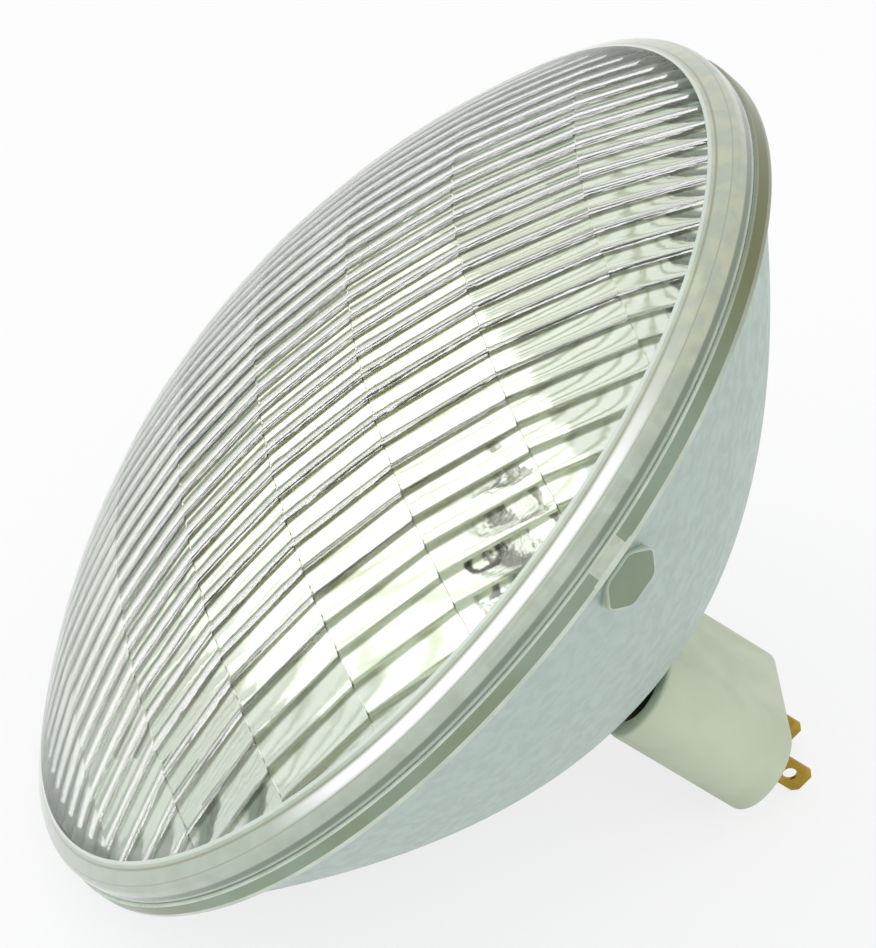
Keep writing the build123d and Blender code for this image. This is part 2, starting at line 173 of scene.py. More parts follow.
class Bench:
    """Modelling steps that the pieces share. Pieces are shaped in mm, in the lamp's own frame."""

    MERGE = 0.001
    NEAR = 0.01
    SNAP = 1e-6
    FACING = 0.9

    @staticmethod
    def clear() -> None:
        """Leaves edit mode and deselects everything."""
        if bpy.context.mode != "OBJECT":
            bpy.ops.object.mode_set(mode="OBJECT")
        bpy.ops.object.select_all(action="DESELECT")

    @staticmethod
    def hold(piece: bpy.types.Object) -> None:
        """Selects one piece and makes it the active one.

        Args:
            piece: The piece to work on.
        """
        Bench.clear()
        piece.select_set(True)
        bpy.context.view_layer.objects.active = piece

    @staticmethod
    def name(name: str) -> bpy.types.Object:
        """Names the primitive that was just added.

        Args:
            name: Name of the object and its mesh.

        Returns:
            The named piece.
        """
        piece = bpy.context.object
        piece.name = name
        piece.data.name = name
        return piece

    @staticmethod
    def pick(piece: bpy.types.Object, kind: Pick, test: Test) -> None:
        """Selects the parts of a mesh in edit mode whose middle and normal pass a test.

        Args:
            piece: The piece in edit mode.
            kind: Vertices, edges or faces.
            test: Takes a middle and a normal.
        """
        bpy.ops.mesh.select_mode(type=kind.value)
        bpy.ops.mesh.select_all(action="DESELECT")
        shape = bmesh.from_edit_mesh(piece.data)
        if kind is Pick.FACE:
            for face in shape.faces:
                face.select_set(test(face.calc_center_median(), face.normal))
        elif kind is Pick.EDGE:
            for edge in shape.edges:
                first, second = edge.verts
                edge.select_set(test((first.co + second.co) / 2, (first.normal + second.normal) / 2))
        else:
            for vert in shape.verts:
                vert.select_set(test(vert.co, vert.normal))
        shape.select_flush_mode()
        bmesh.update_edit_mesh(piece.data)

    @staticmethod
    def profile(name: str, points: Sequence[Point]) -> bpy.types.Object:
        """Draws a line by extruding one vertex from point to point.

        Args:
            name: Name of the piece.
            points: Points as (distance from the axis, height).

        Returns:
            The piece, a bare line.
        """
        Bench.clear()
        bpy.ops.mesh.primitive_plane_add(size=1.0)
        piece = Bench.name(name)
        with editing(piece):
            bpy.ops.mesh.select_mode(type=Pick.VERT.value)
            Bench.select_all()
            bpy.ops.mesh.merge(type="CENTER")
            Bench.select_all()
            bpy.ops.transform.translate(value=(points[0][0], 0, points[0][1]))
            for start, end in zip(points, points[1:]):
                step = (end[0] - start[0], 0, end[1] - start[1])
                bpy.ops.mesh.extrude_vertices_move(TRANSFORM_OT_translate={"value": step})
        return piece

    @staticmethod
    def spin(piece: bpy.types.Object, steps: int) -> None:
        """Turns a profile once about the lamp's axis and closes it.

        Args:
            piece: A line whose two ends lie on the axis.
            steps: Steps of the turn.
        """
        with editing(piece):
            Bench.select_all()
            bpy.ops.mesh.spin(steps=steps, angle=FULL_TURN, center=(0, 0, 0), axis=(0, 0, 1))
            Bench.close()

    @staticmethod
    def select_all() -> None:
        """Selects the whole mesh, in edit mode."""
        bpy.ops.mesh.select_all(action="SELECT")

    @staticmethod
    def extrude(step: Sequence[float]) -> None:
        """Extrudes what is selected and moves it by a step, in edit mode."""
        bpy.ops.mesh.extrude_region_move(TRANSFORM_OT_translate={"value": step})

    @staticmethod
    def slice(place: Sequence[float], way: Sequence[float], cut_off: bool = False) -> None:
        """Cuts the whole mesh along a plane, in edit mode.

        Args:
            place: A point of the plane.
            way: The plane's normal.
            cut_off: Whether what the normal points to is cut off and the cut closed.
        """
        Bench.select_all()
        bpy.ops.mesh.bisect(plane_co=place, plane_no=way, use_fill=cut_off, clear_outer=cut_off)

    @staticmethod
    def face_outwards() -> None:
        """Turns all faces outwards, in edit mode."""
        Bench.select_all()
        bpy.ops.mesh.normals_make_consistent(inside=False)

    @staticmethod
    def close() -> None:
        """Merges doubles and turns all faces outwards, in edit mode."""
        Bench.select_all()
        bpy.ops.mesh.remove_doubles(threshold=Bench.MERGE)
        Bench.face_outwards()

    @staticmethod
    def apply(piece: bpy.types.Object, kind: str, **settings: object) -> None:
        """Adds a modifier, sets it and applies it.

        Args:
            piece: The piece to finish.
            kind: Type of the modifier.
            settings: Its settings.
        """
        Bench.hold(piece)
        bpy.ops.object.modifier_add(type=kind)
        modifier = piece.modifiers[-1]
        for key, value in settings.items():
            setattr(modifier, key, value)
        bpy.ops.object.modifier_apply(modifier=modifier.name)

    @staticmethod
    def cut(piece: bpy.types.Object, tool: bpy.types.Object, how: Cut) -> None:
        """Joins, removes or keeps the share of a second shape, which is used up.

        Args:
            piece: The piece that stays.
            tool: The shape that is used up.
            how: What it does to the piece.
        """
        Bench.apply(piece, "BOOLEAN", operation=how.value, solver="EXACT", object=tool)
        bpy.data.objects.remove(tool)

    @staticmethod
    def rod(name: str, radius: float, low: float, high: float, steps: int) -> bpy.types.Object:
        """A round rod along the lamp's axis, used to cut.

        Args:
            name: Name of the shape.
            radius: Its radius.
            low: Height of its lower end.
            high: Height of its upper end.
            steps: Sides of the rod.

        Returns:
            The rod.
        """
        Bench.clear()
        bpy.ops.mesh.primitive_cylinder_add(
            vertices=steps, radius=radius, depth=high - low, location=(0, 0, (low + high) / 2)
        )
        piece = Bench.name(name)
        Bench.bake(piece)
        return piece

    @staticmethod
    def block(name: str, low: Sequence[float], high: Sequence[float]) -> bpy.types.Object:
        """A straight block between two corners, to be shaped or used to cut.

        Args:
            name: Name of the shape.
            low: Its lowest corner.
            high: Its highest corner.

        Returns:
            The block.
        """
        Bench.clear()
        middle = [(a + b) / 2 for a, b in zip(low, high)]
        bpy.ops.mesh.primitive_cube_add(size=1.0, location=middle)
        piece = Bench.name(name)
        piece.scale = [b - a for a, b in zip(low, high)]
        Bench.bake(piece)
        return piece

    @staticmethod
    def bake(piece: bpy.types.Object) -> None:
        """Moves a shape's place, turn and scale into its mesh."""
        Bench.hold(piece)
        bpy.ops.object.transform_apply(location=True, rotation=True, scale=True)

    @staticmethod
    def smooth(piece: bpy.types.Object, degrees: float) -> None:
        """Shades a piece smooth, except over edges that are sharper than an angle."""
        Bench.hold(piece)
        bpy.ops.object.shade_smooth_by_angle(angle=math.radians(degrees))

    @staticmethod
    def settle(piece: bpy.types.Object, place: LampPlace) -> None:
        """Lays a finished piece where the lamp lies, with its object at the origin."""
        piece.matrix_world = place.from_lamp()
        Bench.bake(piece)


def arc_points(start: Point, corner: Point, end: Point, steps: int) -> list[Point]:
    """Rounds a corner between two points.

    Args:
        start: Where the round starts.
        corner: The sharp corner.
        end: Where the round ends.
        steps: Steps of the round.

    Returns:
        The points, with both ends.
    """
    points = []
    for index in range(steps + 1):
        t = index / steps
        weights = ((1 - t) ** 2, 2 * t * (1 - t), t**2)
        points.append(tuple(sum(w * p[i] for w, p in zip(weights, (start, corner, end))) for i in (0, 1)))
    return points


class Shader:
    """One procedural material, whose patterns are written in mm in the lamp's own frame."""

    MIX_LOW, MIX_HIGH, MIX_RESULT = 6, 7, 2
    WAVE_LEVELS = (0.2, 0.8)

    def __init__(self, name: str, place: LampPlace) -> None:
        """Starts a material with its shader and the lamp's frame.

        Args:
            name: Name of the material.
            place: How the lamp lies.
        """
        self.material = bpy.data.materials.new(name)
        self.material.use_nodes = True
        self.tree = self.material.node_tree
        self.surface = self.tree.nodes["Principled BSDF"]
        coordinates = self.tree.nodes.new("ShaderNodeTexCoord")
        mapping = self.tree.nodes.new("ShaderNodeMapping")
        mapping.inputs["Location"].default_value = place.to_lamp_shift()
        mapping.inputs["Rotation"].default_value = place.to_lamp_turn()
        mapping.inputs["Scale"].default_value = (1 / MM, 1 / MM, 1 / MM)
        self.tree.links.new(coordinates.outputs["Object"], mapping.inputs["Vector"])
        self.lamp = mapping.outputs["Vector"]

    def set(self, **values: object) -> None:
        """Sets the shader's own sockets, with their names' spaces written as underscores."""
        for key, value in values.items():
            self.surface.inputs[key.replace("_", " ")].default_value = value

    def link(self, source: bpy.types.NodeSocket, target: bpy.types.NodeSocket) -> None:
        """Joins two sockets."""
        self.tree.links.new(source, target)

    def effect(self, group: bpy.types.NodeTree, **values: object) -> bpy.types.Node:
        """Places a shared effect, on the lamp's frame.

        Args:
            group: The shared node group.
            values: Its inputs, as numbers, colours or sockets.

        Returns:
            The placed node.
        """
        node = self.tree.nodes.new("ShaderNodeGroup")
        node.node_tree = group
        if "Vector" in node.inputs:
            self.link(self.lamp, node.inputs["Vector"])
        for key, value in values.items():
            put(self.tree, node.inputs[key.replace("_", " ")], value)
        return node

    def mask(self, group: bpy.types.NodeTree, **values: object) -> bpy.types.NodeSocket:
        """Places a shared effect and gives its mask."""
        return self.effect(group, **values).outputs["Mask"]

    def side(self, effects: "SharedEffects", ends: Point) -> bpy.types.NodeSocket:
        """A mask that rises between two places along the ribs."""
        return self.mask(effects.side, Low=ends[0], High=ends[1])

    def blend(self, mask: object, low: object, high: object) -> bpy.types.NodeSocket:
        """Mixes two colours by a mask.

        Args:
            mask: The mask's socket.
            low: Colour, or socket, where the mask is 0.
            high: Colour, or socket, where the mask is 1.

        Returns:
            The mixed colour's socket.
        """
        node = self.tree.nodes.new("ShaderNodeMix")
        node.data_type = "RGBA"
        put(self.tree, node.inputs["Factor"], mask)
        put(self.tree, node.inputs[self.MIX_LOW], low)
        put(self.tree, node.inputs[self.MIX_HIGH], high)
        return node.outputs[self.MIX_RESULT]

    def spread(self, value: object, low: float, high: float) -> bpy.types.NodeSocket:
        """Spreads a mask from 0 to 1 over a range of numbers.

        Args:
            value: The mask's socket.
            low: Number where the mask is 0.
            high: Number where the mask is 1.

        Returns:
            The spread number's socket.
        """
        node = self.tree.nodes.new("ShaderNodeMapRange")
        put(self.tree, node.inputs["Value"], value)
        node.inputs["To Min"].default_value = low
        node.inputs["To Max"].default_value = high
        return node.outputs["Result"]

    def edge_on(self, low: float, high: float) -> bpy.types.NodeSocket:
        """A mask that rises where the surface is seen more and more edge-on.

        Args:
            low: How far edge-on the mask starts, from 0 to 1.
            high: How far edge-on it is full.

        Returns:
            The mask's socket.
        """
        weight = self.tree.nodes.new("ShaderNodeLayerWeight")
        node = self.tree.nodes.new("ShaderNodeMapRange")
        self.link(weight.outputs["Facing"], node.inputs["Value"])
        node.inputs["From Min"].default_value = low
        node.inputs["From Max"].default_value = high
        return node.outputs["Result"]

    def paint(self, colour: bpy.types.NodeSocket) -> None:
        """Gives the surface a colour that changes over it."""
        self.link(colour, self.surface.inputs["Base Color"])

    def wave(self, effects: "SharedEffects", size: float, depth: float) -> None:
        """Makes the surface softly wavy.

        Args:
            effects: The shared node groups.
            size: Size of the waves, in mm.
            depth: Their full swing, in mm.
        """
        low, high = self.WAVE_LEVELS
        self.bump(self.mask(effects.mottle, Size=size, Low=low, High=high), depth)

    def bump(self, height: bpy.types.NodeSocket, depth: float) -> None:
        """Roughs the surface by a height.

        Args:
            height: The height's socket.
            depth: Its full swing, in mm.
        """
        node = self.tree.nodes.new("ShaderNodeBump")
        node.inputs["Distance"].default_value = depth * MM
        self.link(height, node.inputs["Height"])
        self.link(node.outputs["Normal"], self.surface.inputs["Normal"])


def put(tree: bpy.types.NodeTree, socket: bpy.types.NodeSocket, value: object) -> None:
    """Sets a socket to a number or colour, or joins it to another socket.

    Args:
        tree: The tree of both.
        socket: The socket to feed.
        value: A number, a colour or a socket.
    """
    if isinstance(value, bpy.types.NodeSocket):
        tree.links.new(value, socket)
    else:
        socket.default_value = value


class Effect:
    """A node group under construction."""

    def __init__(self, name: str, inputs: dict[str, float | None], outputs: Sequence[str]) -> None:
        """Makes the group and its sockets.

        Args:
            name: Name of the group.
            inputs: Names and start values; None is a place on the surface.
            outputs: Names of the masks and values that it puts out.
        """
        self.tree = bpy.data.node_groups.new(name, "ShaderNodeTree")
        for key, value in inputs.items():
            kind = "NodeSocketVector" if value is None else "NodeSocketFloat"
            socket = self.tree.interface.new_socket(name=key, in_out="INPUT", socket_type=kind)
            if value is not None:
                socket.default_value = value
        for key in outputs:
            self.tree.interface.new_socket(name=key, in_out="OUTPUT", socket_type="NodeSocketFloat")
        self.start = self.tree.nodes.new("NodeGroupInput").outputs
        self.end = self.tree.nodes.new("NodeGroupOutput").inputs

    def math(self, operation: str, first: object, second: object = 0.0) -> bpy.types.NodeSocket:
        """One step of arithmetic.

        Args:
            operation: Name of the operation.
            first: First number or socket.
            second: Second number or socket.

        Returns:
            The result's socket.
        """
        node = self.tree.nodes.new("ShaderNodeMath")
        node.operation = operation
        put(self.tree, node.inputs[0], first)
        put(self.tree, node.inputs[1], second)
        return node.outputs[0]

    def distance(self, first: object, second: object) -> bpy.types.NodeSocket:
        """Distance from the middle, by two places at right angles.

        Args:
            first: First place's socket.
            second: Second place's socket.

        Returns:
            The distance's socket.
        """
        squares = (self.math("POWER", place, 2.0) for place in (first, second))
        return self.math("SQRT", self.math("ADD", *squares))

    def scale(self) -> bpy.types.NodeSocket:
        """Clouds to a mm, from the group's size in mm."""
        return self.math("DIVIDE", 1.0, self.start["Size"])

    def ramp(self, value: object, low: object, high: object) -> bpy.types.NodeSocket:
        """A soft mask that rises from 0 to 1 between two values.

        Args:
            value: The value's socket.
            low: Value or socket where the mask is 0.
            high: Value or socket where the mask is 1.

        Returns:
            The mask's socket.
        """
        node = self.tree.nodes.new("ShaderNodeMapRange")
        node.interpolation_type = "SMOOTHSTEP"
        put(self.tree, node.inputs["Value"], value)
        put(self.tree, node.inputs["From Min"], low)
        put(self.tree, node.inputs["From Max"], high)
        return node.outputs["Result"]

    def noise(self, vector: object, scale: object, detail: float, twist: float = 0.0) -> bpy.types.NodeSocket:
        """A cloud pattern.

        Args:
            vector: Place on the surface.
            scale: Clouds to a mm.
            detail: Finer clouds on top.
            twist: How far the clouds are drawn out of shape.

        Returns:
            The pattern's socket.
        """
        node = self.tree.nodes.new("ShaderNodeTexNoise")
        put(self.tree, node.inputs["Vector"], vector)
        put(self.tree, node.inputs["Scale"], scale)
        node.inputs["Detail"].default_value = detail
        node.inputs["Distortion"].default_value = twist
        return node.outputs["Fac"]

    def parts(self, vector: object) -> Sequence[bpy.types.NodeSocket]:
        """Splits a place into its three numbers.

        Args:
            vector: Place on the surface.

        Returns:
            The sockets of the place along the ribs, across them and above the seam.
        """
        node = self.tree.nodes.new("ShaderNodeSeparateXYZ")
        put(self.tree, node.inputs[0], vector)
        return node.outputs

    def give(self, **results: bpy.types.NodeSocket) -> bpy.types.NodeTree:
        """Joins the results to the group's outputs.

        Args:
            results: Sockets by output name.

        Returns:
            The finished group.
        """
        for key, socket in results.items():
            self.tree.links.new(socket, self.end[key.replace("_", " ")])
        return self.tree


@dataclass(frozen=True)
class RibZones:
    """Where the lens's ribs have their valleys with painted shade lines, where a painted pool of light lies
    on the glass, and where painted shade lies at the far side.
    """

    rib_pitch: float = RIB_PITCH
    column_width: float = COLUMN_WIDTH
    wide_line: float = 1.35
    narrow_line: float = 0.9
    core_share: float = 0.5
    # Painted shade lines in the valleys: fainter towards one end of the ribs.
    valley_shade_range: Point = (-85.0, -25.0)
    valley_shade_least: float = 0.3
    # Painted pool of light: middle, reach and levels of a pale warm patch on the ribs.
    painted_light_middle: Point = (12.0, -28.0)
    painted_light_reach: Point = (115.0, 90.0)
    painted_light_levels: Point = (0.3, 1.0)
    # Painted shade: the far side of the ribs is darker.
    far_shade_range: Point = (58.0, 95.0)

    def make(self) -> bpy.types.NodeTree:
        """Builds the group of masks on the ribs.

        Returns:
            The finished group.
        """
        effect = Effect("rib_zones", {"Vector": None}, ["Lines", "Warm", "Far", "Radius"])
        along, across, _ = effect.parts(effect.start["Vector"])
        shares = []
        # Painted light: full at the patch's middle, fading away from it.
        for place, middle, reach in zip((along, across), self.painted_light_middle, self.painted_light_reach):
            shares.append(effect.math("DIVIDE", effect.math("SUBTRACT", place, middle), reach))
        away = effect.ramp(effect.distance(*shares), *self.painted_light_levels)
        return effect.give(
            Lines=self._lines(effect, along, across),
            Warm=effect.math("SUBTRACT", 1.0, away),
            Far=effect.ramp(across, *self.far_shade_range),
            Radius=effect.distance(along, across),
        )

    def _lines(self, effect: Effect, along: object, across: object) -> bpy.types.NodeSocket:
        """The painted shade lines in the valleys, wide where a column starts and narrow where it ends, and
        fainter at one end.

        Args:
            effect: The group under construction.
            along: Socket of the place along the ribs.
            across: Socket of the place across the ribs.

        Returns:
            The lines' mask.
        """
        half_rib = 0.5
        # Painted shade: a line along each valley between the ribs.
        turns = effect.math("ADD", effect.math("DIVIDE", across, self.rib_pitch), half_rib)
        phase = effect.math("SUBTRACT", effect.math("FRACT", turns), half_rib)
        gap = effect.math("MULTIPLY", effect.math("ABSOLUTE", phase), self.rib_pitch)
        part = effect.math("FRACT", effect.math("DIVIDE", along, self.column_width))
        change = effect.math("MULTIPLY", part, self.narrow_line - self.wide_line)
        width = effect.math("ADD", change, self.wide_line)
        core = effect.math("MULTIPLY", width, self.core_share)
        lines = effect.math("SUBTRACT", 1.0, effect.ramp(gap, core, width))
        depth = effect.math("MULTIPLY", effect.ramp(along, *self.valley_shade_range), 1.0 - self.valley_shade_least)
        return effect.math("MULTIPLY", lines, effect.math("ADD", depth, self.valley_shade_least))


class SharedEffects:
    """The node groups that more than one finish uses."""

    CLOUD_DETAIL = 3.0
    CLOUD_TWIST = 0.4
    GRAIN_DETAIL = 4.0
    SPECK_SHARE = 0.4
    SPECK_DETAIL = 2.0
    SPECK_LEVELS = (0.62, 0.72)
    SCRATCH_DETAIL = 3.0
    SCRATCH_LEVELS = (0.35, 0.7)
    RING_CORE = 0.4

    def __init__(self) -> None:
        """Builds each group once."""
        self.mottle = self._mottle()
        self.grain = self._grain()
        self.scratches = self._scratches()
        self.around = self._around()
        self.ring = self._ring()
        self.side = self._side()
        self.rib_zones = RibZones().make()

    def _mottle(self) -> bpy.types.NodeTree:
        """Soft clouds, with their size in mm and their edges between two levels.

        Returns:
            The finished group.
        """
        effect = Effect("mottle", {"Vector": None, "Size": 10.0, "Low": 0.35, "High": 0.65}, ["Mask"])
        clouds = effect.noise(effect.start["Vector"], effect.scale(), self.CLOUD_DETAIL, self.CLOUD_TWIST)
        return effect.give(Mask=effect.ramp(clouds, effect.start["Low"], effect.start["High"]))

    def _grain(self) -> bpy.types.NodeTree:
        """Fine grain with scattered pits, for bump and specks.

        Returns:
            The finished group.
        """
        effect = Effect("grain", {"Vector": None, "Size": 0.5, "Pits": 0.3}, ["Height", "Specks"])
        scale = effect.scale()
        fine = effect.noise(effect.start["Vector"], scale, self.GRAIN_DETAIL)
        speck_scale = effect.math("MULTIPLY", scale, self.SPECK_SHARE)
        coarse = effect.noise(effect.start["Vector"], speck_scale, self.SPECK_DETAIL)
        specks = effect.ramp(coarse, *self.SPECK_LEVELS)
        pits = effect.math("MULTIPLY", specks, effect.start["Pits"])
        return effect.give(Height=effect.math("SUBTRACT", fine, pits), Specks=specks)

    def _scratches(self) -> bpy.types.NodeTree:
        """Fine drawn lines along the lamp's axis.

        Returns:
            The finished group.
        """
        effect = Effect("scratches", {"Vector": None, "Size": 0.25, "Stretch": 30.0}, ["Mask"])
        along, across, up = effect.parts(effect.start["Vector"])
        join = effect.tree.nodes.new("ShaderNodeCombineXYZ")
        drawn = (along, across, effect.math("DIVIDE", up, effect.start["Stretch"]))
        for place, socket in zip(drawn, join.inputs):
            effect.tree.links.new(place, socket)
        lines = effect.noise(join.outputs[0], effect.scale(), self.SCRATCH_DETAIL)
        return effect.give(Mask=effect.ramp(lines, *self.SCRATCH_LEVELS))

    def _around(self) -> bpy.types.NodeTree:
        """Distance from the lamp's axis and height above the seam, in mm.

        Returns:
            The finished group.
        """
        effect = Effect("around", {"Vector": None}, ["Radius", "Height"])
        along, across, up = effect.parts(effect.start["Vector"])
        return effect.give(Radius=effect.distance(along, across), Height=up)

    def _ring(self) -> bpy.types.NodeTree:
        """A soft line where a value passes a centre.

        Returns:
            The finished group.
        """
        effect = Effect("ring", {"Value": 0.0, "Centre": 0.0, "Width": 0.5}, ["Mask"])
        gap = effect.math("ABSOLUTE", effect.math("SUBTRACT", effect.start["Value"], effect.start["Centre"]))
        half = effect.math("MULTIPLY", effect.start["Width"], 0.5)
        core = effect.math("MULTIPLY", half, self.RING_CORE)
        return effect.give(Mask=effect.math("SUBTRACT", 1.0, effect.ramp(gap, core, half)))

    def _side(self) -> bpy.types.NodeTree:
        """How far a place lies towards one end of the ribs, between two places along them.

        Returns:
            The finished group.
        """
        effect = Effect("side", {"Vector": None, "Low": 0.0, "High": 1.0}, ["Mask"])
        along, _, _ = effect.parts(effect.start["Vector"])
        return effect.give(Mask=effect.ramp(along, effect.start["Low"], effect.start["High"]))


@dataclass(frozen=True)
class GlassFinish:
    """Clear pressed glass, faintly wavy, and darker where it is seen edge-on."""

    name: str
    tint: Colour
    haze: Colour
    roughness: float = 0.02
    ior: float = 1.28
    wave_size: float = 14.0
    wave_depth: float = 0.12
    waves_to_haze: float = 3.0
    edge: Colour | None = None
    edge_range: Point = (0.66, 0.88)

    def make(self, place: LampPlace, effects: SharedEffects) -> Shader:
        """Makes the material.

        Args:
            place: How the lamp lies.
            effects: The shared node groups.

        Returns:
            The material's shader.
        """
        shader = Shader(self.name, place)
        shader.set(Roughness=self.roughness, IOR=self.ior, Metallic=0.0, Transmission_Weight=1.0)
        clouds = shader.mask(effects.mottle, Size=self.wave_size * self.waves_to_haze)
        colour = shader.blend(clouds, self.tint, self.haze)
        if self.edge is not None:
            colour = shader.blend(shader.edge_on(*self.edge_range), colour, self.edge)
        shader.paint(colour)
        shader.wave(effects, self.wave_size, self.wave_depth)
        return shader


@dataclass(frozen=True)
class Ring:
    """A thin painted ring on the lens's glass, standing in for refracted edges, shade and highlights, by its
    distance from the axis or its height.
    """

    place: float
    width: float
    colour: Colour

    def lay(
        self, shader: Shader, effects: SharedEffects, value: object, colour: object
    ) -> bpy.types.NodeSocket:
        """Lays the ring over a colour.

        Args:
            shader: The material's shader.
            effects: The shared node groups.
            value: Socket of the distance or height.
            colour: Socket of the colour.

        Returns:
            The socket of the colour with its ring.
        """
        mask = shader.mask(effects.ring, Value=value, Centre=self.place, Width=self.width)
        return shader.blend(mask, colour, self.colour)


@dataclass(frozen=True)
class RibbedGlassFinish:
    """The lens's inside: pressed ribs with a painted olive shade line in each valley, darkest in the painted
    pool of light.
    """

    name: str
    painted_light_colour: Colour
    cool_colour: Colour
    pale_colour: Colour
    far_shade_colour: Colour
    valley_shade_colour: Colour
    faint_valley_shade: Colour
    # Painted highlight ring at the ends of the ribs.
    rib_end_highlight: Ring
    clear_share: float = 0.93
    roughness: float = 0.05
    ior: float = 1.28
    cloud_size: float = 16.0
    wave_size: float = 7.0
    wave_depth: float = 0.02

    def make(self, place: LampPlace, effects: SharedEffects) -> Shader:
        """Makes the material.

        Args:
            place: How the lamp lies.
            effects: The shared node groups.

        Returns:
            The material's shader.
        """
        shader = Shader(self.name, place)
        shader.set(Roughness=self.roughness, IOR=self.ior, Metallic=0.0, Transmission_Weight=self.clear_share)
        zones = shader.effect(effects.rib_zones).outputs
        clouds = shader.mask(effects.mottle, Size=self.cloud_size)
        colour = shader.blend(clouds, self.cool_colour, self.pale_colour)
        # Painted pool of light: a pale warm colour over the middle of the ribs.
        colour = shader.blend(zones["Warm"], colour, self.painted_light_colour)
        # Painted shade on the far side of the ribs.
        colour = shader.blend(zones["Far"], colour, self.far_shade_colour)
        # Painted highlight at the rib ends.
        colour = self.rib_end_highlight.lay(shader, effects, zones["Radius"], colour)
        # Painted shade in the valleys, darkest in the painted pool of light.
        line = shader.blend(zones["Warm"], self.faint_valley_shade, self.valley_shade_colour)
        shader.paint(shader.blend(zones["Lines"], colour, line))
        shader.wave(effects, self.wave_size, self.wave_depth)
        return shader


@dataclass(frozen=True)
class BorderGlassFinish:
    """The lens's solid edge: pale glass with thin painted rings for refracted edges and highlights, and a
    painted highlight ring along a part of its way.
    """

    name: str
    colour: Colour
    # Painted shade: an olive tone towards one end of the ribs.
    second_colour: Colour
    side_shade_colour: Colour
    # Painted refraction lines and highlight bands, by distance and by height.
    painted_rings: tuple[Ring, ...]
    painted_wall_rings: tuple[Ring, ...]
    # Painted highlight ring on the border, kept between two places along the ribs.
    painted_highlight: Ring
    painted_highlight_ends: tuple[Point, Point] = ((-32.0, -6.0), (82.0, 55.0))
    side_shade_range: Point = (58.0, 84.0)
    clear_share: float = 0.06
    roughness: float = 0.08
    ior: float = 1.47
    coat: float = 0.6
    cloud_size: float = 5.0
    wave_size: float = 3.0
    wave_depth: float = 0.03

    def make(self, place: LampPlace, effects: SharedEffects) -> Shader:
        """Makes the material.

        Args:
            place: How the lamp lies.
            effects: The shared node groups.

        Returns:
            The material's shader.
        """
        shader = Shader(self.name, place)
        shader.set(Roughness=self.roughness, IOR=self.ior, Metallic=0.0)
        shader.set(Transmission_Weight=self.clear_share, Coat_Weight=self.coat)
        around = shader.effect(effects.around).outputs
        clouds = shader.mask(effects.mottle, Size=self.cloud_size)
        # Painted shade: an olive tone towards one end of the ribs.
        side = shader.side(effects, self.side_shade_range)
        plain = shader.blend(clouds, shader.blend(side, self.colour, self.side_shade_colour), self.second_colour)
        # Painted highlight ring, limited along the ribs below.
        colour = self.painted_highlight.lay(shader, effects, around["Radius"], plain)
        for ends in self.painted_highlight_ends:
            colour = shader.blend(shader.side(effects, ends), plain, colour)
        # Painted refraction lines, painted shade bands and painted highlight lines.
        for word, painted_rings in (("Radius", self.painted_rings), ("Height", self.painted_wall_rings)):
            for ring in painted_rings:
                colour = ring.lay(shader, effects, around[word], colour)
        shader.paint(colour)
        shader.wave(effects, self.wave_size, self.wave_depth)
        return shader


@dataclass(frozen=True)
class SolidFinish:
    """An opaque surface with clouds of a second colour, fine grain and a changing gloss, and on some a
    painted shade towards one end of the ribs.
    """

    name: str
    colour: Colour
    second_colour: Colour
    cloud_size: float
    gloss: Point
    grain_size: float = 0.5
    grain_depth: float = 0.01
    pits: float = 0.3
    metallic: float = 0.0
    coat: float = 0.0
    coat_roughness: float = 0.1
    specular: float = 0.5
    speck_colour: Colour | None = None
    side_shade_colour: Colour | None = None
    side_shade_range: Point = (70.0, 98.0)
    drawn: float = 0.0

    def make(self, place: LampPlace, effects: SharedEffects) -> Shader:
        """Makes the material.

        Args:
            place: How the lamp lies.
            effects: The shared node groups.

        Returns:
            The material's shader.
        """
        shader = Shader(self.name, place)
        shader.set(Metallic=self.metallic, Coat_Weight=self.coat, Coat_Roughness=self.coat_roughness)
        shader.set(Specular_IOR_Level=self.specular)
        clouds = shader.mask(effects.mottle, Size=self.cloud_size)
        colour = shader.blend(clouds, self.colour, self.second_colour)
        # Painted shade: a darker colour towards one end of the ribs.
        if self.side_shade_colour is not None:
            colour = shader.blend(shader.side(effects, self.side_shade_range), colour, self.side_shade_colour)
        grain = shader.effect(effects.grain, Size=self.grain_size, Pits=self.pits).outputs
        if self.speck_colour is not None:
            colour = shader.blend(grain["Specks"], colour, self.speck_colour)
        shader.paint(colour)
        wear = shader.mask(effects.scratches, Size=self.drawn) if self.drawn > 0 else clouds
        shader.link(shader.spread(wear, *self.gloss), shader.surface.inputs["Roughness"])
        shader.bump(grain["Height"], self.grain_depth)
        return shader


Finish = GlassFinish | RibbedGlassFinish | BorderGlassFinish | SolidFinish

LENS_CLEAR = GlassFinish(
    "lens_clear_glass",
    (1.0, 1.0, 0.99, 1.0),
    (0.975, 0.995, 0.975, 1.0),
    ior=1.17,
    edge=(0.28, 0.33, 0.27, 1.0),
)
LENS_RIBS = RibbedGlassFinish(
    "lens_ribbed_glass",
    # Painted pool of light on the ribs.
    painted_light_colour=(1.0, 0.99, 0.83, 1.0),
    cool_colour=(0.76, 0.87, 0.79, 1.0),
    pale_colour=(0.84, 0.94, 0.87, 1.0),
    # Painted shade at the far side of the ribs.
    far_shade_colour=(0.62, 0.67, 0.57, 1.0),
    # Painted shade in the rib valleys, strong and faint.
    valley_shade_colour=(0.02, 0.02, 0.004, 1.0),
    faint_valley_shade=(0.22, 0.26, 0.15, 1.0),
    # Painted highlight at the rib ends.
    rib_end_highlight=Ring(92.6, 2.2, (0.95, 0.98, 0.95, 1.0)),
)
LENS_MILKY_RIBS = replace(LENS_RIBS, name="lens_milky_ribs", clear_share=0.68)
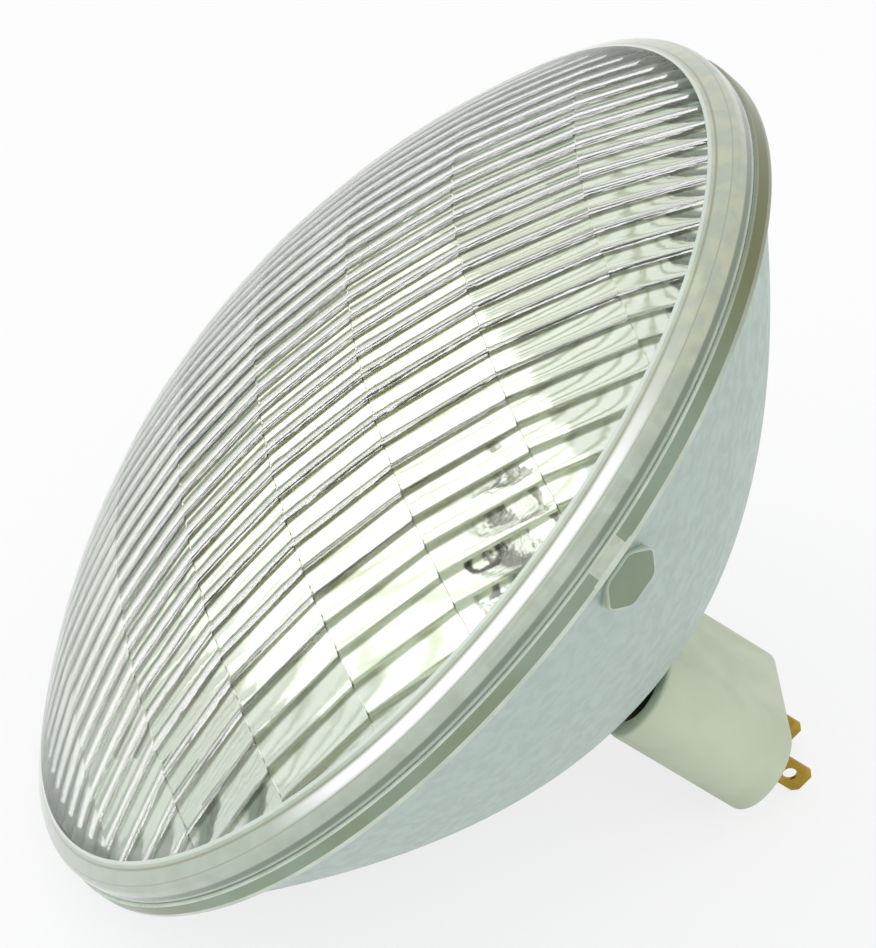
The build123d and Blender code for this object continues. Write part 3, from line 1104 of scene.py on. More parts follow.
LENS_BORDER = BorderGlassFinish(
    "lens_border_glass",
    (0.43, 0.50, 0.42, 1.0),
    (0.40, 0.46, 0.37, 1.0),
    # Painted shade towards one end of the border.
    side_shade_colour=(0.50, 0.53, 0.37, 1.0),
    # Painted refraction lines of the inner edges and a painted highlight band.
    painted_rings=(
        Ring(95.2, 0.5, (0.24, 0.27, 0.22, 1.0)),
        Ring(96.4, 1.3, (0.60, 0.68, 0.60, 1.0)),
        Ring(97.6, 0.6, (0.30, 0.32, 0.23, 1.0)),
        Ring(100.1, 0.3, (0.34, 0.38, 0.31, 1.0)),
    ),
    # Painted shade band on the side wall and a painted highlight line at the seam.
    painted_wall_rings=(
        Ring(1.6, 1.8, (0.17, 0.22, 0.16, 1.0)),
        Ring(0.2, 0.6, (0.62, 0.69, 0.60, 1.0)),
    ),
    # Painted highlight on the border.
    painted_highlight=Ring(98.9, 2.6, (0.97, 0.98, 0.97, 1.0)),
)
BOWL_BACK = SolidFinish(
    "bowl_satin_back",
    (0.45, 0.55, 0.50, 1.0),
    (0.42, 0.51, 0.46, 1.0),
    cloud_size=3.0,
    gloss=(0.38, 0.48),
    grain_size=0.9,
    grain_depth=0.012,
    metallic=0.1,
    specular=0.2,
)
BOWL_FILM = SolidFinish(
    "bowl_mirror_film",
    (0.985, 0.985, 0.98, 1.0),
    (0.96, 0.965, 0.96, 1.0),
    cloud_size=30.0,
    gloss=(0.05, 0.09),
    grain_size=3.0,
    grain_depth=0.004,
    pits=0.0,
    metallic=1.0,
)
RIM_GLASS = SolidFinish(
    "rim_green_glass",
    (0.25, 0.33, 0.25, 1.0),
    (0.22, 0.27, 0.18, 1.0),
    cloud_size=24.0,
    gloss=(0.14, 0.26),
    grain_size=1.2,
    grain_depth=0.012,
    coat=0.08,
    coat_roughness=0.06,
    specular=0.25,
    # Painted shade towards one end of the rim.
    side_shade_colour=(0.15, 0.165, 0.07, 1.0),
)
FLAT_GLASS = SolidFinish(
    "rim_ground_flat",
    (0.50, 0.56, 0.45, 1.0),
    (0.43, 0.48, 0.38, 1.0),
    cloud_size=3.0,
    gloss=(0.3, 0.5),
    grain_size=0.4,
    grain_depth=0.02,
)
# Painted highlight on the flange's rounded edges and the lugs' bevels and sides.
EDGE_HIGHLIGHT_GLASS = SolidFinish(
    "rim_edge_highlight",
    (0.58, 0.65, 0.55, 1.0),
    (0.48, 0.55, 0.45, 1.0),
    cloud_size=8.0,
    gloss=(0.15, 0.3),
    grain_size=0.8,
    grain_depth=0.008,
    # Painted shade towards one end of the edges.
    side_shade_colour=(0.26, 0.28, 0.19, 1.0),
)
CERAMIC = SolidFinish(
    "base_ceramic",
    (0.60, 0.66, 0.51, 1.0),
    (0.56, 0.62, 0.47, 1.0),
    cloud_size=12.0,
    gloss=(0.42, 0.55),
    grain_size=0.5,
    grain_depth=0.012,
    pits=0.15,
)
CEMENT = SolidFinish(
    "basing_cement",
    (0.60, 0.58, 0.50, 1.0),
    (0.48, 0.46, 0.40, 1.0),
    cloud_size=2.5,
    gloss=(0.75, 0.95),
    grain_size=0.35,
    grain_depth=0.08,
    pits=0.6,
    speck_colour=(0.38, 0.37, 0.32, 1.0),
)
BRASS = SolidFinish(
    "blade_brass",
    (0.44, 0.29, 0.05, 1.0),
    (0.34, 0.22, 0.036, 1.0),
    cloud_size=3.5,
    gloss=(0.22, 0.42),
    grain_size=0.3,
    grain_depth=0.004,
    metallic=1.0,
    drawn=0.25,
)
NICKEL = SolidFinish(
    "post_nickel",
    (0.60, 0.58, 0.54, 1.0),
    (0.50, 0.48, 0.45, 1.0),
    cloud_size=4.0,
    gloss=(0.2, 0.38),
    grain_depth=0.004,
    metallic=1.0,
    drawn=0.3,
)
TUNGSTEN = SolidFinish(
    "coil_tungsten",
    (0.36, 0.35, 0.34, 1.0),
    (0.24, 0.24, 0.25, 1.0),
    cloud_size=1.5,
    gloss=(0.35, 0.5),
    grain_size=0.1,
    grain_depth=0.003,
    metallic=1.0,
)
MOLYBDENUM = SolidFinish(
    "foil_molybdenum",
    (0.55, 0.54, 0.53, 1.0),
    (0.42, 0.42, 0.43, 1.0),
    cloud_size=1.2,
    gloss=(0.25, 0.4),
    grain_size=0.2,
    grain_depth=0.004,
    metallic=1.0,
)
QUARTZ = GlassFinish(
    "burner_quartz",
    (0.97, 0.97, 0.96, 1.0),
    (0.93, 0.94, 0.94, 1.0),
    ior=1.458,
    wave_size=3.0,
)


class Finisher:
    """Makes each finish once and puts it on pieces and carried-over nodes."""

    def __init__(self, place: LampPlace) -> None:
        """Builds the shared effects.

        Args:
            place: How the lamp lies.
        """
        self.place = place
        self.effects = SharedEffects()
        self.made: dict[str, bpy.types.Material] = {}

    def material(self, finish: Finish) -> bpy.types.Material:
        """Gives a finish's material, which is made when it is first asked for.

        Args:
            finish: The finish.

        Returns:
            Its material.
        """
        if finish.name not in self.made:
            self.made[finish.name] = finish.make(self.place, self.effects).material
        return self.made[finish.name]

    def dress(self, piece: bpy.types.Object, *finishes: Finish) -> None:
        """Gives a new piece its finishes, the first one all over.

        Args:
            piece: The piece to dress.
            finishes: Its finishes, in the order of its materials.
        """
        piece.data.materials.clear()
        for finish in finishes:
            piece.data.materials.append(self.material(finish))

    def dress_node(self, name: str, finish: Finish) -> None:
        """Gives a carried-over node a finish.

        Args:
            name: Name of the node.
            finish: Its finish.
        """
        for slot in frame["nodes"][name].material_slots:
            slot.material = self.material(finish)
        LOG.info("node %s dressed with %s", name, finish.name)

    def hand_over(self, piece: bpy.types.Object, slot: str, *nodes: str) -> None:
        """Lays a finished piece in place, in the stead of its nodes.

        Args:
            piece: The piece, in mm in the lamp's frame.
            slot: The record's material slot; not used.
            nodes: The nodes that it stands for.
        """
        Bench.settle(piece, self.place)
        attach(piece, ROOT_BODY)
        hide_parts(*nodes)
        LOG.info("piece %s: %d faces, stands for %s", piece.name, len(piece.data.polygons), ", ".join(nodes))


@dataclass
class Lens:
    """Pressed glass dome, smooth outside, with ribs in stepped columns inside."""

    radius: float = 100.97
    edge_height: float = 4.5
    edge_cut: float = 1.0
    seam_cut: float = 0.5
    dome_radius: float = 176.5
    wall: float = 4.2
    rib_dome_radius: float = 170.0
    rib_pitch: float = RIB_PITCH
    rib_height: float = 0.5
    column_width: float = COLUMN_WIDTH
    column_step: float = 0.5
    inner_radius: float = SEAL_RADIUS
    border_start: float = 96.25
    milky_end: float = -48.0
    turn_steps: int = 256
    dome_steps: int = 40
    border_steps: int = 4
    rib_steps: int = 6
    rib_columns: int = 8
    corner_steps: int = 4
    floor_margin: float = 1.0
    smooth_angle: float = 24.0
    piece: bpy.types.Object | None = field(default=None, init=False)

    def dome_height(self, radius: float) -> float:
        """Height of the outside at a distance from the axis."""
        centre = self.edge_height - math.sqrt(self.dome_radius**2 - self.radius**2)
        return centre + math.sqrt(self.dome_radius**2 - radius**2)

    def rib_drop(self, distance: float) -> float:
        """How far the ribbed inside falls away at a distance from the middle."""
        return self.rib_dome_radius - math.sqrt(self.rib_dome_radius**2 - distance**2)

    def rib_height_across(self, place: float) -> float:
        """Height of the ribs at a place across them, under the middle of the lens.

        Args:
            place: Place across the ribs.

        Returns:
            The height, on a round bow from valley to valley.
        """
        low = math.floor(place / self.rib_pitch + Bench.SNAP) * self.rib_pitch
        share = (place - low) / self.rib_pitch
        start = -self.rib_drop(low)
        end = -self.rib_drop(low + self.rib_pitch)
        crest = -self.rib_drop(low + self.rib_pitch / 2) - self.rib_height
        sag = (start + end) / 2 - crest
        return start + (end - start) * share - 4 * share * (1 - share) * sag

    def column_lines(self) -> list[Point]:
        """Finds both edges of each column of ribs.

        Returns:
            The edges, as (place along the ribs, height).
        """
        top = self.dome_height(0) - self.wall
        half = self.rib_columns // 2
        lines = []
        for index in range(-half, half):
            low = index * self.column_width
            high = low + self.column_width
            lines.append((low, top - self.rib_drop(low) + self.column_step / 2))
            lines.append((high, top - self.rib_drop(high) - self.column_step / 2))
        return lines

    def outline(self) -> list[Point]:
        """Draws half of the outside.

        Returns:
            Points from the top of the dome, over its edge, to the middle of the seam.
        """
        points = []
        for index in range(self.dome_steps):
            radius = self.inner_radius * index / self.dome_steps
            points.append((radius, self.dome_height(radius)))
        border_end = self.radius - self.edge_cut
        for index in range(self.border_steps + 1):
            radius = self.inner_radius + (border_end - self.inner_radius) * index / self.border_steps
            points.append((radius, self.dome_height(radius)))
        edge = (self.radius, self.edge_height)
        wall_top = (self.radius, self.edge_height - self.edge_cut)
        points += arc_points(points[-1], edge, wall_top, self.corner_steps)[1:]
        points += [(self.radius, self.seam_cut), (self.radius - self.seam_cut, 0), (0, 0)]
        return points

    def rib_space(self) -> bpy.types.Object:
        """The room under the ribs, a grid shaped into stepped columns of ribs and drawn down to a block.

        Returns:
            The shape that is taken out of the dome.
        """
        lines = self.column_lines()
        half_width = self.rib_columns / 2 * self.column_width
        ribs = round(2 * half_width / self.rib_pitch)
        across = ribs * self.rib_steps
        Bench.clear()
        bpy.ops.mesh.primitive_grid_add(x_subdivisions=len(lines) - 1, y_subdivisions=across, size=2.0)
        grid = Bench.name("rib_space")
        for vert in grid.data.vertices:
            place, height = lines[round((vert.co.x + 1) / 2 * (len(lines) - 1))]
            step = round((vert.co.y + 1) / 2 * across)
            sideways = -half_width + step * self.rib_pitch / self.rib_steps
            vert.co = (place, sideways, height + self.rib_height_across(sideways))
        floor = -self.inner_radius
        with editing(grid):
            bpy.ops.mesh.select_mode(type=Pick.FACE.value)
            Bench.select_all()
            Bench.extrude((0, 0, -self.dome_radius))
            bpy.ops.transform.resize(value=(1, 1, 0), center_override=(0, 0, floor))
            Bench.face_outwards()
        low = floor + self.floor_margin
        rod = Bench.rod("seal_opening", self.inner_radius, low, self.dome_radius, self.turn_steps)
        Bench.cut(grid, rod, Cut.KEEP)
        return grid

    def build(self, finisher: Finisher) -> None:
        """Models the lens and dresses it.

        Args:
            finisher: Makes and puts on the finishes.
        """
        self.piece = Bench.profile("lens_ribbed", self.outline())
        Bench.spin(self.piece, self.turn_steps)
        Bench.cut(self.piece, self.rib_space(), Cut.REMOVE)
        Bench.smooth(self.piece, self.smooth_angle)
        self.dress(finisher)
        finisher.hand_over(self.piece, "lens_glass", "lens")

    def dress(self, finisher: Finisher) -> None:
        """Puts clear glass on the dome, ribbed glass inside, milky at one end, and pale glass on the edge.

        Args:
            finisher: Makes and puts on the finishes.
        """
        finisher.dress(self.piece, LENS_CLEAR, LENS_RIBS, LENS_BORDER, LENS_MILKY_RIBS)
        for face in self.piece.data.polygons:
            outside = face.normal.z > 0
            radius = math.hypot(face.center.x, face.center.y)
            border_start = self.border_start if outside else self.inner_radius - Bench.NEAR
            if radius > border_start:
                face.material_index = LensSkin.BORDER
            elif outside:
                face.material_index = LensSkin.CLEAR
            else:
                milky = face.center.x < self.milky_end
                face.material_index = LensSkin.MILKY_RIBS if milky else LensSkin.RIBS


@dataclass
class Bowl:
    """Pressed glass paraboloid with its flange, lugs, flats, back boss and exhaust stub."""

    rim_radius: float = 101.57
    flange_thickness: float = 4.0
    flange_cut: float = 0.6
    # Band at the back of the flange that takes the painted edge highlight.
    highlight_band: float = 1.1
    inner_radius: float = SEAL_RADIUS
    seal_depth: float = 4.3
    depth: float = 65.3
    wall: float = 3.0
    boss_radius: float = 19.0
    boss_rise: float = 1.2
    boss_draft: float = 1.5
    stub_radius: float = 2.0
    stub_length: float = 5.0
    stub_bore: float = 0.8
    stub_tip: float = 2.0
    stub_point: float = 0.6
    lug_count: int = 3
    lug_width: float = 14.0
    lug_length: float = 7.0
    lug_end_cut: float = 2.2
    lug_front_depth: float = 6.0
    lug_stand: float = 3.5
    lug_edge_radius: float = 0.7
    lug_corner: float = 1.1
    flat_width: float = 11.0
    ground_width: float = 8.0
    ground_depth: float = 2.7
    post_offset: float = 9.7
    neck_radius: float = 3.0
    hole_steps: int = 40
    turn_steps: int = 256
    wall_steps: int = 44
    corner_steps: int = 4
    upright_share: float = 0.95
    smooth_angle: float = 32.0
    piece: bpy.types.Object | None = field(default=None, init=False)

    @property
    def focal_length(self) -> float:
        """Focal length of the mirror."""
        return self.inner_radius**2 / (4 * (self.depth - self.seal_depth))

    @property
    def outer_focal_length(self) -> float:
        """Focal length of the outside.

        Returns:
            The length that keeps the outside one wall away from the mirror.
        """
        slope = math.hypot(self.inner_radius, 2 * self.focal_length)
        edge_radius = self.inner_radius + self.wall * self.inner_radius / slope
        edge_depth = self.seal_depth + self.wall * 2 * self.focal_length / slope
        return edge_radius**2 / (4 * (self.depth + self.wall - edge_depth))

    @property
    def boss_depth(self) -> float:
        """Depth of the flat back."""
        return self.depth + self.wall + self.boss_rise

    def inner_depth(self, radius: float) -> float:
        """Depth of the mirror at a distance from the axis."""
        return self.depth - radius**2 / (4 * self.focal_length)

    def outer_depth(self, radius: float) -> float:
        """Depth of the outside at a distance from the axis."""
        return self.depth + self.wall - radius**2 / (4 * self.outer_focal_length)

    def outer_radius(self, depth: float) -> float:
        """Distance of the outside from the axis at a depth."""
        return math.sqrt(4 * self.outer_focal_length * (self.depth + self.wall - depth))

    def outline(self) -> list[Point]:
        """Draws half of the wall.

        Returns:
            Points from the stub's bore, over the mirror, flange and back, to the stub's tip.
        """
        bore_end = -(self.boss_depth + self.stub_length - self.stub_tip)
        points = [(0, bore_end), (self.stub_bore, bore_end)]
        for index in range(self.wall_steps + 1):
            radius = self.stub_bore + (self.inner_radius - self.stub_bore) * index / self.wall_steps
            points.append((radius, -self.inner_depth(radius)))
        points.append((self.inner_radius, 0))
        cut = self.flange_cut
        rim, back = self.rim_radius, -self.flange_thickness
        points += arc_points((rim - cut, 0), (rim, 0), (rim, -cut), self.corner_steps)
        points.append((rim, back + self.highlight_band))
        points += arc_points((rim, back + cut), (rim, back), (rim - cut, back), self.corner_steps)
        foot, boss_foot = self.outer_radius(self.flange_thickness), self.boss_radius + self.boss_draft
        for index in range(self.wall_steps + 1):
            radius = foot + (boss_foot - foot) * index / self.wall_steps
            points.append((radius, -self.outer_depth(radius)))
        points += [(self.boss_radius, -self.boss_depth), (self.stub_radius, -self.boss_depth)]
        points += [(self.stub_radius, bore_end), (self.stub_point, -self.boss_depth - self.stub_length)]
        points.append((0, -self.boss_depth - self.stub_length))
        return points

    def lug(self) -> bpy.types.Object:
        """One locating lug on the +X side: a block with pointed ends and a rounded face.

        Returns:
            The lug, from inside the wall to its flat face.
        """
        half_length = self.lug_length / 2
        face = self.outer_radius(self.lug_front_depth + half_length) + self.lug_stand
        root = self.outer_radius(self.lug_front_depth + self.lug_length) - self.wall / 2
        middle_height = -self.lug_front_depth - half_length
        half_width = self.lug_width / 2
        low = (root, -half_width, middle_height - half_length)
        lug = Bench.block("lug", low, (face, half_width, middle_height + half_length))
        with editing(lug):
            for side, end in itertools.product((1, -1), repeat=2):
                corner = (0, side * half_width, middle_height)
                slant = (0, side * half_length, end * self.lug_end_cut)
                Bench.slice(corner, slant, cut_off=True)
            Bench.pick(lug, Pick.EDGE, lambda middle, normal: abs(middle.x - (root + face) / 2) < Bench.NEAR)
            bpy.ops.mesh.bevel(offset=self.lug_corner, segments=self.corner_steps)
            Bench.pick(lug, Pick.EDGE, lambda middle, normal: middle.x > face - Bench.NEAR)
            bpy.ops.mesh.bevel(offset=self.lug_edge_radius, segments=self.corner_steps)
        return lug

    def build(self, finisher: Finisher) -> None:
        """Models the bowl and dresses it.

        Args:
            finisher: Makes and puts on the finishes.
        """
        self.piece = Bench.profile("bowl_mirrored", self.outline())
        Bench.spin(self.piece, self.turn_steps)
        flat_radius = math.sqrt(self.rim_radius**2 - (self.flat_width / 2) ** 2)
        for index in range(self.lug_count):
            angle = math.pi + index * FULL_TURN / self.lug_count
            lug = self.lug()
            flat_low = (flat_radius, -self.flat_width, -self.flange_thickness - self.flange_cut)
            flat_high = (self.rim_radius + self.wall, self.flat_width, self.flange_cut)
            flat = Bench.block("flat", flat_low, flat_high)
            with editing(flat):
                Bench.slice((0, 0, -self.ground_depth), (0, 0, 1))
                for ground_end in (self.ground_width / 2, -self.ground_width / 2):
                    Bench.slice((0, ground_end, 0), (0, 1, 0))
            for shape, how in ((lug, Cut.JOIN), (flat, Cut.REMOVE)):
                shape.rotation_euler.z = angle
                Bench.bake(shape)
                Bench.cut(self.piece, shape, how)
        for side in Side:
            low, high = -2 * self.boss_depth, -self.depth / 2
            hole = Bench.rod("neck_hole", self.neck_radius, low, high, self.hole_steps)
            hole.location.y = side.value * self.post_offset
            Bench.bake(hole)
            Bench.cut(self.piece, hole, Cut.REMOVE)
        Bench.smooth(self.piece, self.smooth_angle)
        self.dress(finisher)
        finisher.hand_over(self.piece, "bowl_glass", "reflector")

    def dress(self, finisher: Finisher) -> None:
        """Puts the mirror film inside, satin outside, green glass on rim and lugs, ground glass on the flats,
        and a painted highlight on the rim's edges and the lugs' sides.

        Args:
            finisher: Makes and puts on the finishes.
        """
        finisher.dress(self.piece, BOWL_BACK, BOWL_FILM, RIM_GLASS, FLAT_GLASS, EDGE_HIGHLIGHT_GLASS)
        for face in self.piece.data.polygons:
            radius = math.hypot(face.center.x, face.center.y)
            depth = -face.center.z
            if radius < self.inner_radius and abs(depth - self.inner_depth(radius)) < self.wall / 4:
                face.material_index = BowlSkin.FILM
            elif depth < self.flange_thickness and radius > self.rim_radius - self.flange_cut:
                face.material_index = self._rim_skin(face)
            elif self._on_lug(face):
                # Lug fronts take green glass, lug sides the painted edge highlight.
                on_front = self._along_lug(face.normal).x > Bench.FACING
                face.material_index = BowlSkin.RIM if on_front else BowlSkin.EDGE

    def _rim_skin(self, face: bpy.types.MeshPolygon) -> BowlSkin:
        """Chooses the finish of a face on the rim.

        Args:
            face: The face.

        Returns:
            Ground glass on a flat, a painted highlight on the edges and green glass between them.
        """
        # Rounded corners and the band at the back take the painted edge highlight.
        if math.hypot(face.normal.x, face.normal.y) <= self.upright_share:
            return BowlSkin.EDGE
        depth = -face.center.z
        facet_radius = self.rim_radius * math.cos(math.pi / self.turn_steps)
        on_flat = math.hypot(face.center.x, face.center.y) < facet_radius - Bench.NEAR
        sideways = abs(self._along_lug(face.center).y)
        if on_flat and depth < self.ground_depth and sideways < self.ground_width / 2:
            return BowlSkin.FLAT
        return BowlSkin.RIM if depth < self.flange_thickness - self.highlight_band else BowlSkin.EDGE

    def _along_lug(self, vector: Vector) -> Vector:
        """Turns a place or direction with the lug that is nearest to it.

        Args:
            vector: The place or direction.

        Returns:
            The same as seen with that lug on the +X side.
        """
        step = FULL_TURN / self.lug_count
        turns = round((math.atan2(vector.y, vector.x) - math.pi) / step)
        return Matrix.Rotation(-math.pi - turns * step, 3, "Z") @ vector

    def _on_lug(self, face: bpy.types.MeshPolygon) -> bool:
        """Finds out whether a face belongs to a lug.

        Args:
            face: A face of the bowl.

        Returns:
            Whether it has a corner that stands out from the bowl's wall behind the flange.
        """
        for index in face.vertices:
            place = self.piece.data.vertices[index].co
            depth = -place.z
            if self.flange_thickness + Bench.NEAR < depth < self.lug_front_depth + 2 * self.lug_length:
                if math.hypot(place.x, place.y) > self.outer_radius(depth) + self.lug_edge_radius / 4:
                    return True
        return False


@dataclass(frozen=True)
class BaseSeat:
    """How the base sits on the bowl's boss: shifted along the ribs and leaning back the other way."""

    boss_depth: float = 69.5
    shift: float = 1.6
    lean: float = 6.0

    def seat(self, piece: bpy.types.Object) -> None:
        """Moves a piece from the base's own frame to its seat.

        Args:
            piece: A piece of the base, in mm.
        """
        turn = Matrix.Rotation(math.radians(-self.lean), 4, "Y")
        boss = Vector((0, 0, -self.boss_depth))
        onto = Matrix.Translation(boss - Vector((self.shift, 0, 0)))
        piece.matrix_world = onto @ turn @ Matrix.Translation(-boss)
        Bench.bake(piece)


@dataclass
class Base:
    """Oblong ceramic block, hollow in front, with the cement that holds it to the bowl's back."""

    on_boss: BaseSeat = BaseSeat()
    front_depth: float = 71.5
    long_side: float = 45.0
    short_side: float = 20.5
    height: float = 33.3
    wall: float = 3.5
    end_block: float = 11.0
    edge_round: float = 0.8
    edge_steps: int = 4
    turn_steps: int = 96
    blade_offset: float = BLADE_OFFSET
    slot_width: float = 6.6
    slot_thickness: float = 1.2
    cement_thickness: float = 2.0
    cement_inset: float = 0.6
    cement_length: float = 30.0
    cement_lumps: float = 0.12
    cement_cuts: int = 9
    cement_seed: int = 3
    smooth_angle: float = 35.0

    def oblong_block(self) -> bpy.types.Object:
        """A round block drawn apart into an oblong one.

        Returns:
            The block, between the front and the end of the base.
        """
        radius = self.short_side / 2
        block = Bench.rod(
            "base_ceramic_block", radius, -self.front_depth - self.height, -self.front_depth, self.turn_steps
        )
        block.rotation_euler.z = math.pi / self.turn_steps
        Bench.bake(block)
        apart = self.long_side / 2 - radius
        with editing(block):
            for sign in (1, -1):
                Bench.pick(block, Pick.VERT, lambda middle, normal: middle.y * sign > 0)
                bpy.ops.transform.translate(value=(0, sign * apart, 0))
        return block

    def build_block(self, finisher: Finisher) -> None:
        """Models the ceramic block: round rims, a deep hollow in front and a slot for each blade.

        Args:
            finisher: Makes and puts on the finishes.
        """
        block = self.oblong_block()
        front = -self.front_depth
        end = front - self.height
        with editing(block):
            Bench.pick(block, Pick.FACE, lambda middle, normal: normal.z > Bench.FACING)
            bpy.ops.mesh.inset(thickness=self.wall)
            hollow = (0, 0, self.end_block - self.height)
            Bench.extrude(hollow)
            Bench.pick(block, Pick.EDGE, self._on_outer_rim)
            bpy.ops.mesh.bevel(offset=self.edge_round, segments=self.edge_steps)
        for side in Side:
            middle = side.value * self.blade_offset
            low = (-self.slot_width / 2, middle - self.slot_thickness / 2, end - self.wall)
            high = (self.slot_width / 2, middle + self.slot_thickness / 2, front - self.wall)
            Bench.cut(block, Bench.block("blade_slot", low, high), Cut.REMOVE)
        self.on_boss.seat(block)
        Bench.smooth(block, self.smooth_angle)
        finisher.dress(block, CERAMIC)
        finisher.hand_over(block, "ceramic", "ceramic_base")

    def _on_outer_rim(self, middle: Vector, normal: Vector) -> bool:
        """Finds out whether an edge is one of those that are rounded.

        Args:
            middle: The edge's middle.
            normal: Its normal; not used.

        Returns:
            Whether it lies on the outer rim at the front or the end.
        """
        half = self.long_side / 2 - self.short_side / 2
        reach = math.hypot(middle.x, max(abs(middle.y) - half, 0.0))
        at_front = abs(middle.z + self.front_depth) < Bench.NEAR
        at_end = abs(middle.z + self.front_depth + self.height) < Bench.NEAR
        return (at_front or at_end) and reach > self.short_side / 2 - self.wall / 4

    def build_cement(self, finisher: Finisher) -> None:
        """Models the two beads of cement as lumpy strips between the bowl's boss and the base's long walls.

        Args:
            finisher: Makes and puts on the finishes.
        """
        inner = self.short_side / 2 - self.wall
        outer = self.short_side / 2 - self.cement_inset
        low = (inner, -self.cement_length / 2, -self.front_depth)
        high = (outer, self.cement_length / 2, -self.front_depth + 2 * self.cement_thickness)
        bead = Bench.block("cement_beads", low, high)
        with editing(bead):
            Bench.select_all()
            bpy.ops.mesh.subdivide(number_cuts=self.cement_cuts)
            Bench.pick(bead, Pick.VERT, lambda middle, normal: abs(normal.z) < Bench.FACING)
            bpy.ops.transform.vertex_random(offset=self.cement_lumps, seed=self.cement_seed)
            Bench.select_all()
            bpy.ops.mesh.duplicate()
            bpy.ops.transform.rotate(value=math.pi, orient_axis="Z", center_override=(0, 0, 0))
            Bench.face_outwards()
        self.on_boss.seat(bead)
        Bench.apply(bead, "SUBSURF", levels=1, render_levels=1)
        with editing(bead):
            Bench.slice((0, 0, -self.on_boss.boss_depth), (0, 0, 1), cut_off=True)
        Bench.smooth(bead, self.smooth_angle)
        finisher.dress(bead, CEMENT)
        finisher.hand_over(bead, "cement", "basing_cement")


@dataclass
class Blades:
    """The two flat brass contact blades."""

    on_boss: BaseSeat = BaseSeat()
    offset: float = BLADE_OFFSET
    width: float = 6.4
    thickness: float = 1.0
    stop_depth: float = 93.8
    tip_depth: float = 117.8
    corner: float = 1.2
    head_width: float = 10.0
    head_length: float = 9.0
    hole_radius: float = 1.5
    hole_setback: float = 4.3
    hole_steps: int = 40
    edge_round: float = 0.16
    edge_steps: int = 2
    edge_angle: float = 40.0
    smooth_angle: float = 35.0

    def build(self, side: Side, finisher: Finisher) -> None:
        """Models one blade: cut corners, a hole near the tip and a wide head inside the base.

        Args:
            side: Which blade.
            finisher: Makes and puts on the finishes.
        """
        half = self.thickness / 2
        low = (-self.width / 2, -half, -self.tip_depth)
        blade = Bench.block(f"blade_{side.word}", low, (self.width / 2, half, -self.stop_depth))
        with editing(blade):
            Bench.pick(blade, Pick.EDGE, self._on_tip_corner)
            bpy.ops.mesh.bevel(offset=self.corner, segments=1)
            Bench.pick(blade, Pick.FACE, lambda middle, normal: normal.z > Bench.FACING)
            Bench.extrude((0, 0, 0))
            bpy.ops.transform.resize(value=(self.head_width / self.width, 1, 1), center_override=(0, 0, 0))
            Bench.extrude((0, 0, self.head_length))
            Bench.face_outwards()
        hole = Bench.rod("blade_hole", self.hole_radius, -self.thickness, self.thickness, self.hole_steps)
        hole.rotation_euler.x = math.pi / 2
        hole.location.z = self.hole_setback - self.tip_depth
        Bench.bake(hole)
        Bench.cut(blade, hole, Cut.REMOVE)
        Bench.apply(
            blade,
            "BEVEL",
            width=self.edge_round,
            segments=self.edge_steps,
            limit_method="ANGLE",
            angle_limit=math.radians(self.edge_angle),
        )
        blade.location.y = side.value * self.offset
        Bench.bake(blade)
        self.on_boss.seat(blade)
        Bench.smooth(blade, self.smooth_angle)
        finisher.dress(blade, BRASS)
        finisher.hand_over(blade, "brass", f"contact_blade_{side.word}")

    def _on_tip_corner(self, middle: Vector, normal: Vector) -> bool:
        """Whether an edge is one of the two that cross the blade's thickness at its tip."""
        at_tip = abs(middle.z + self.tip_depth) < Bench.NEAR
        return at_tip and abs(middle.x) > self.width / 2 - Bench.NEAR


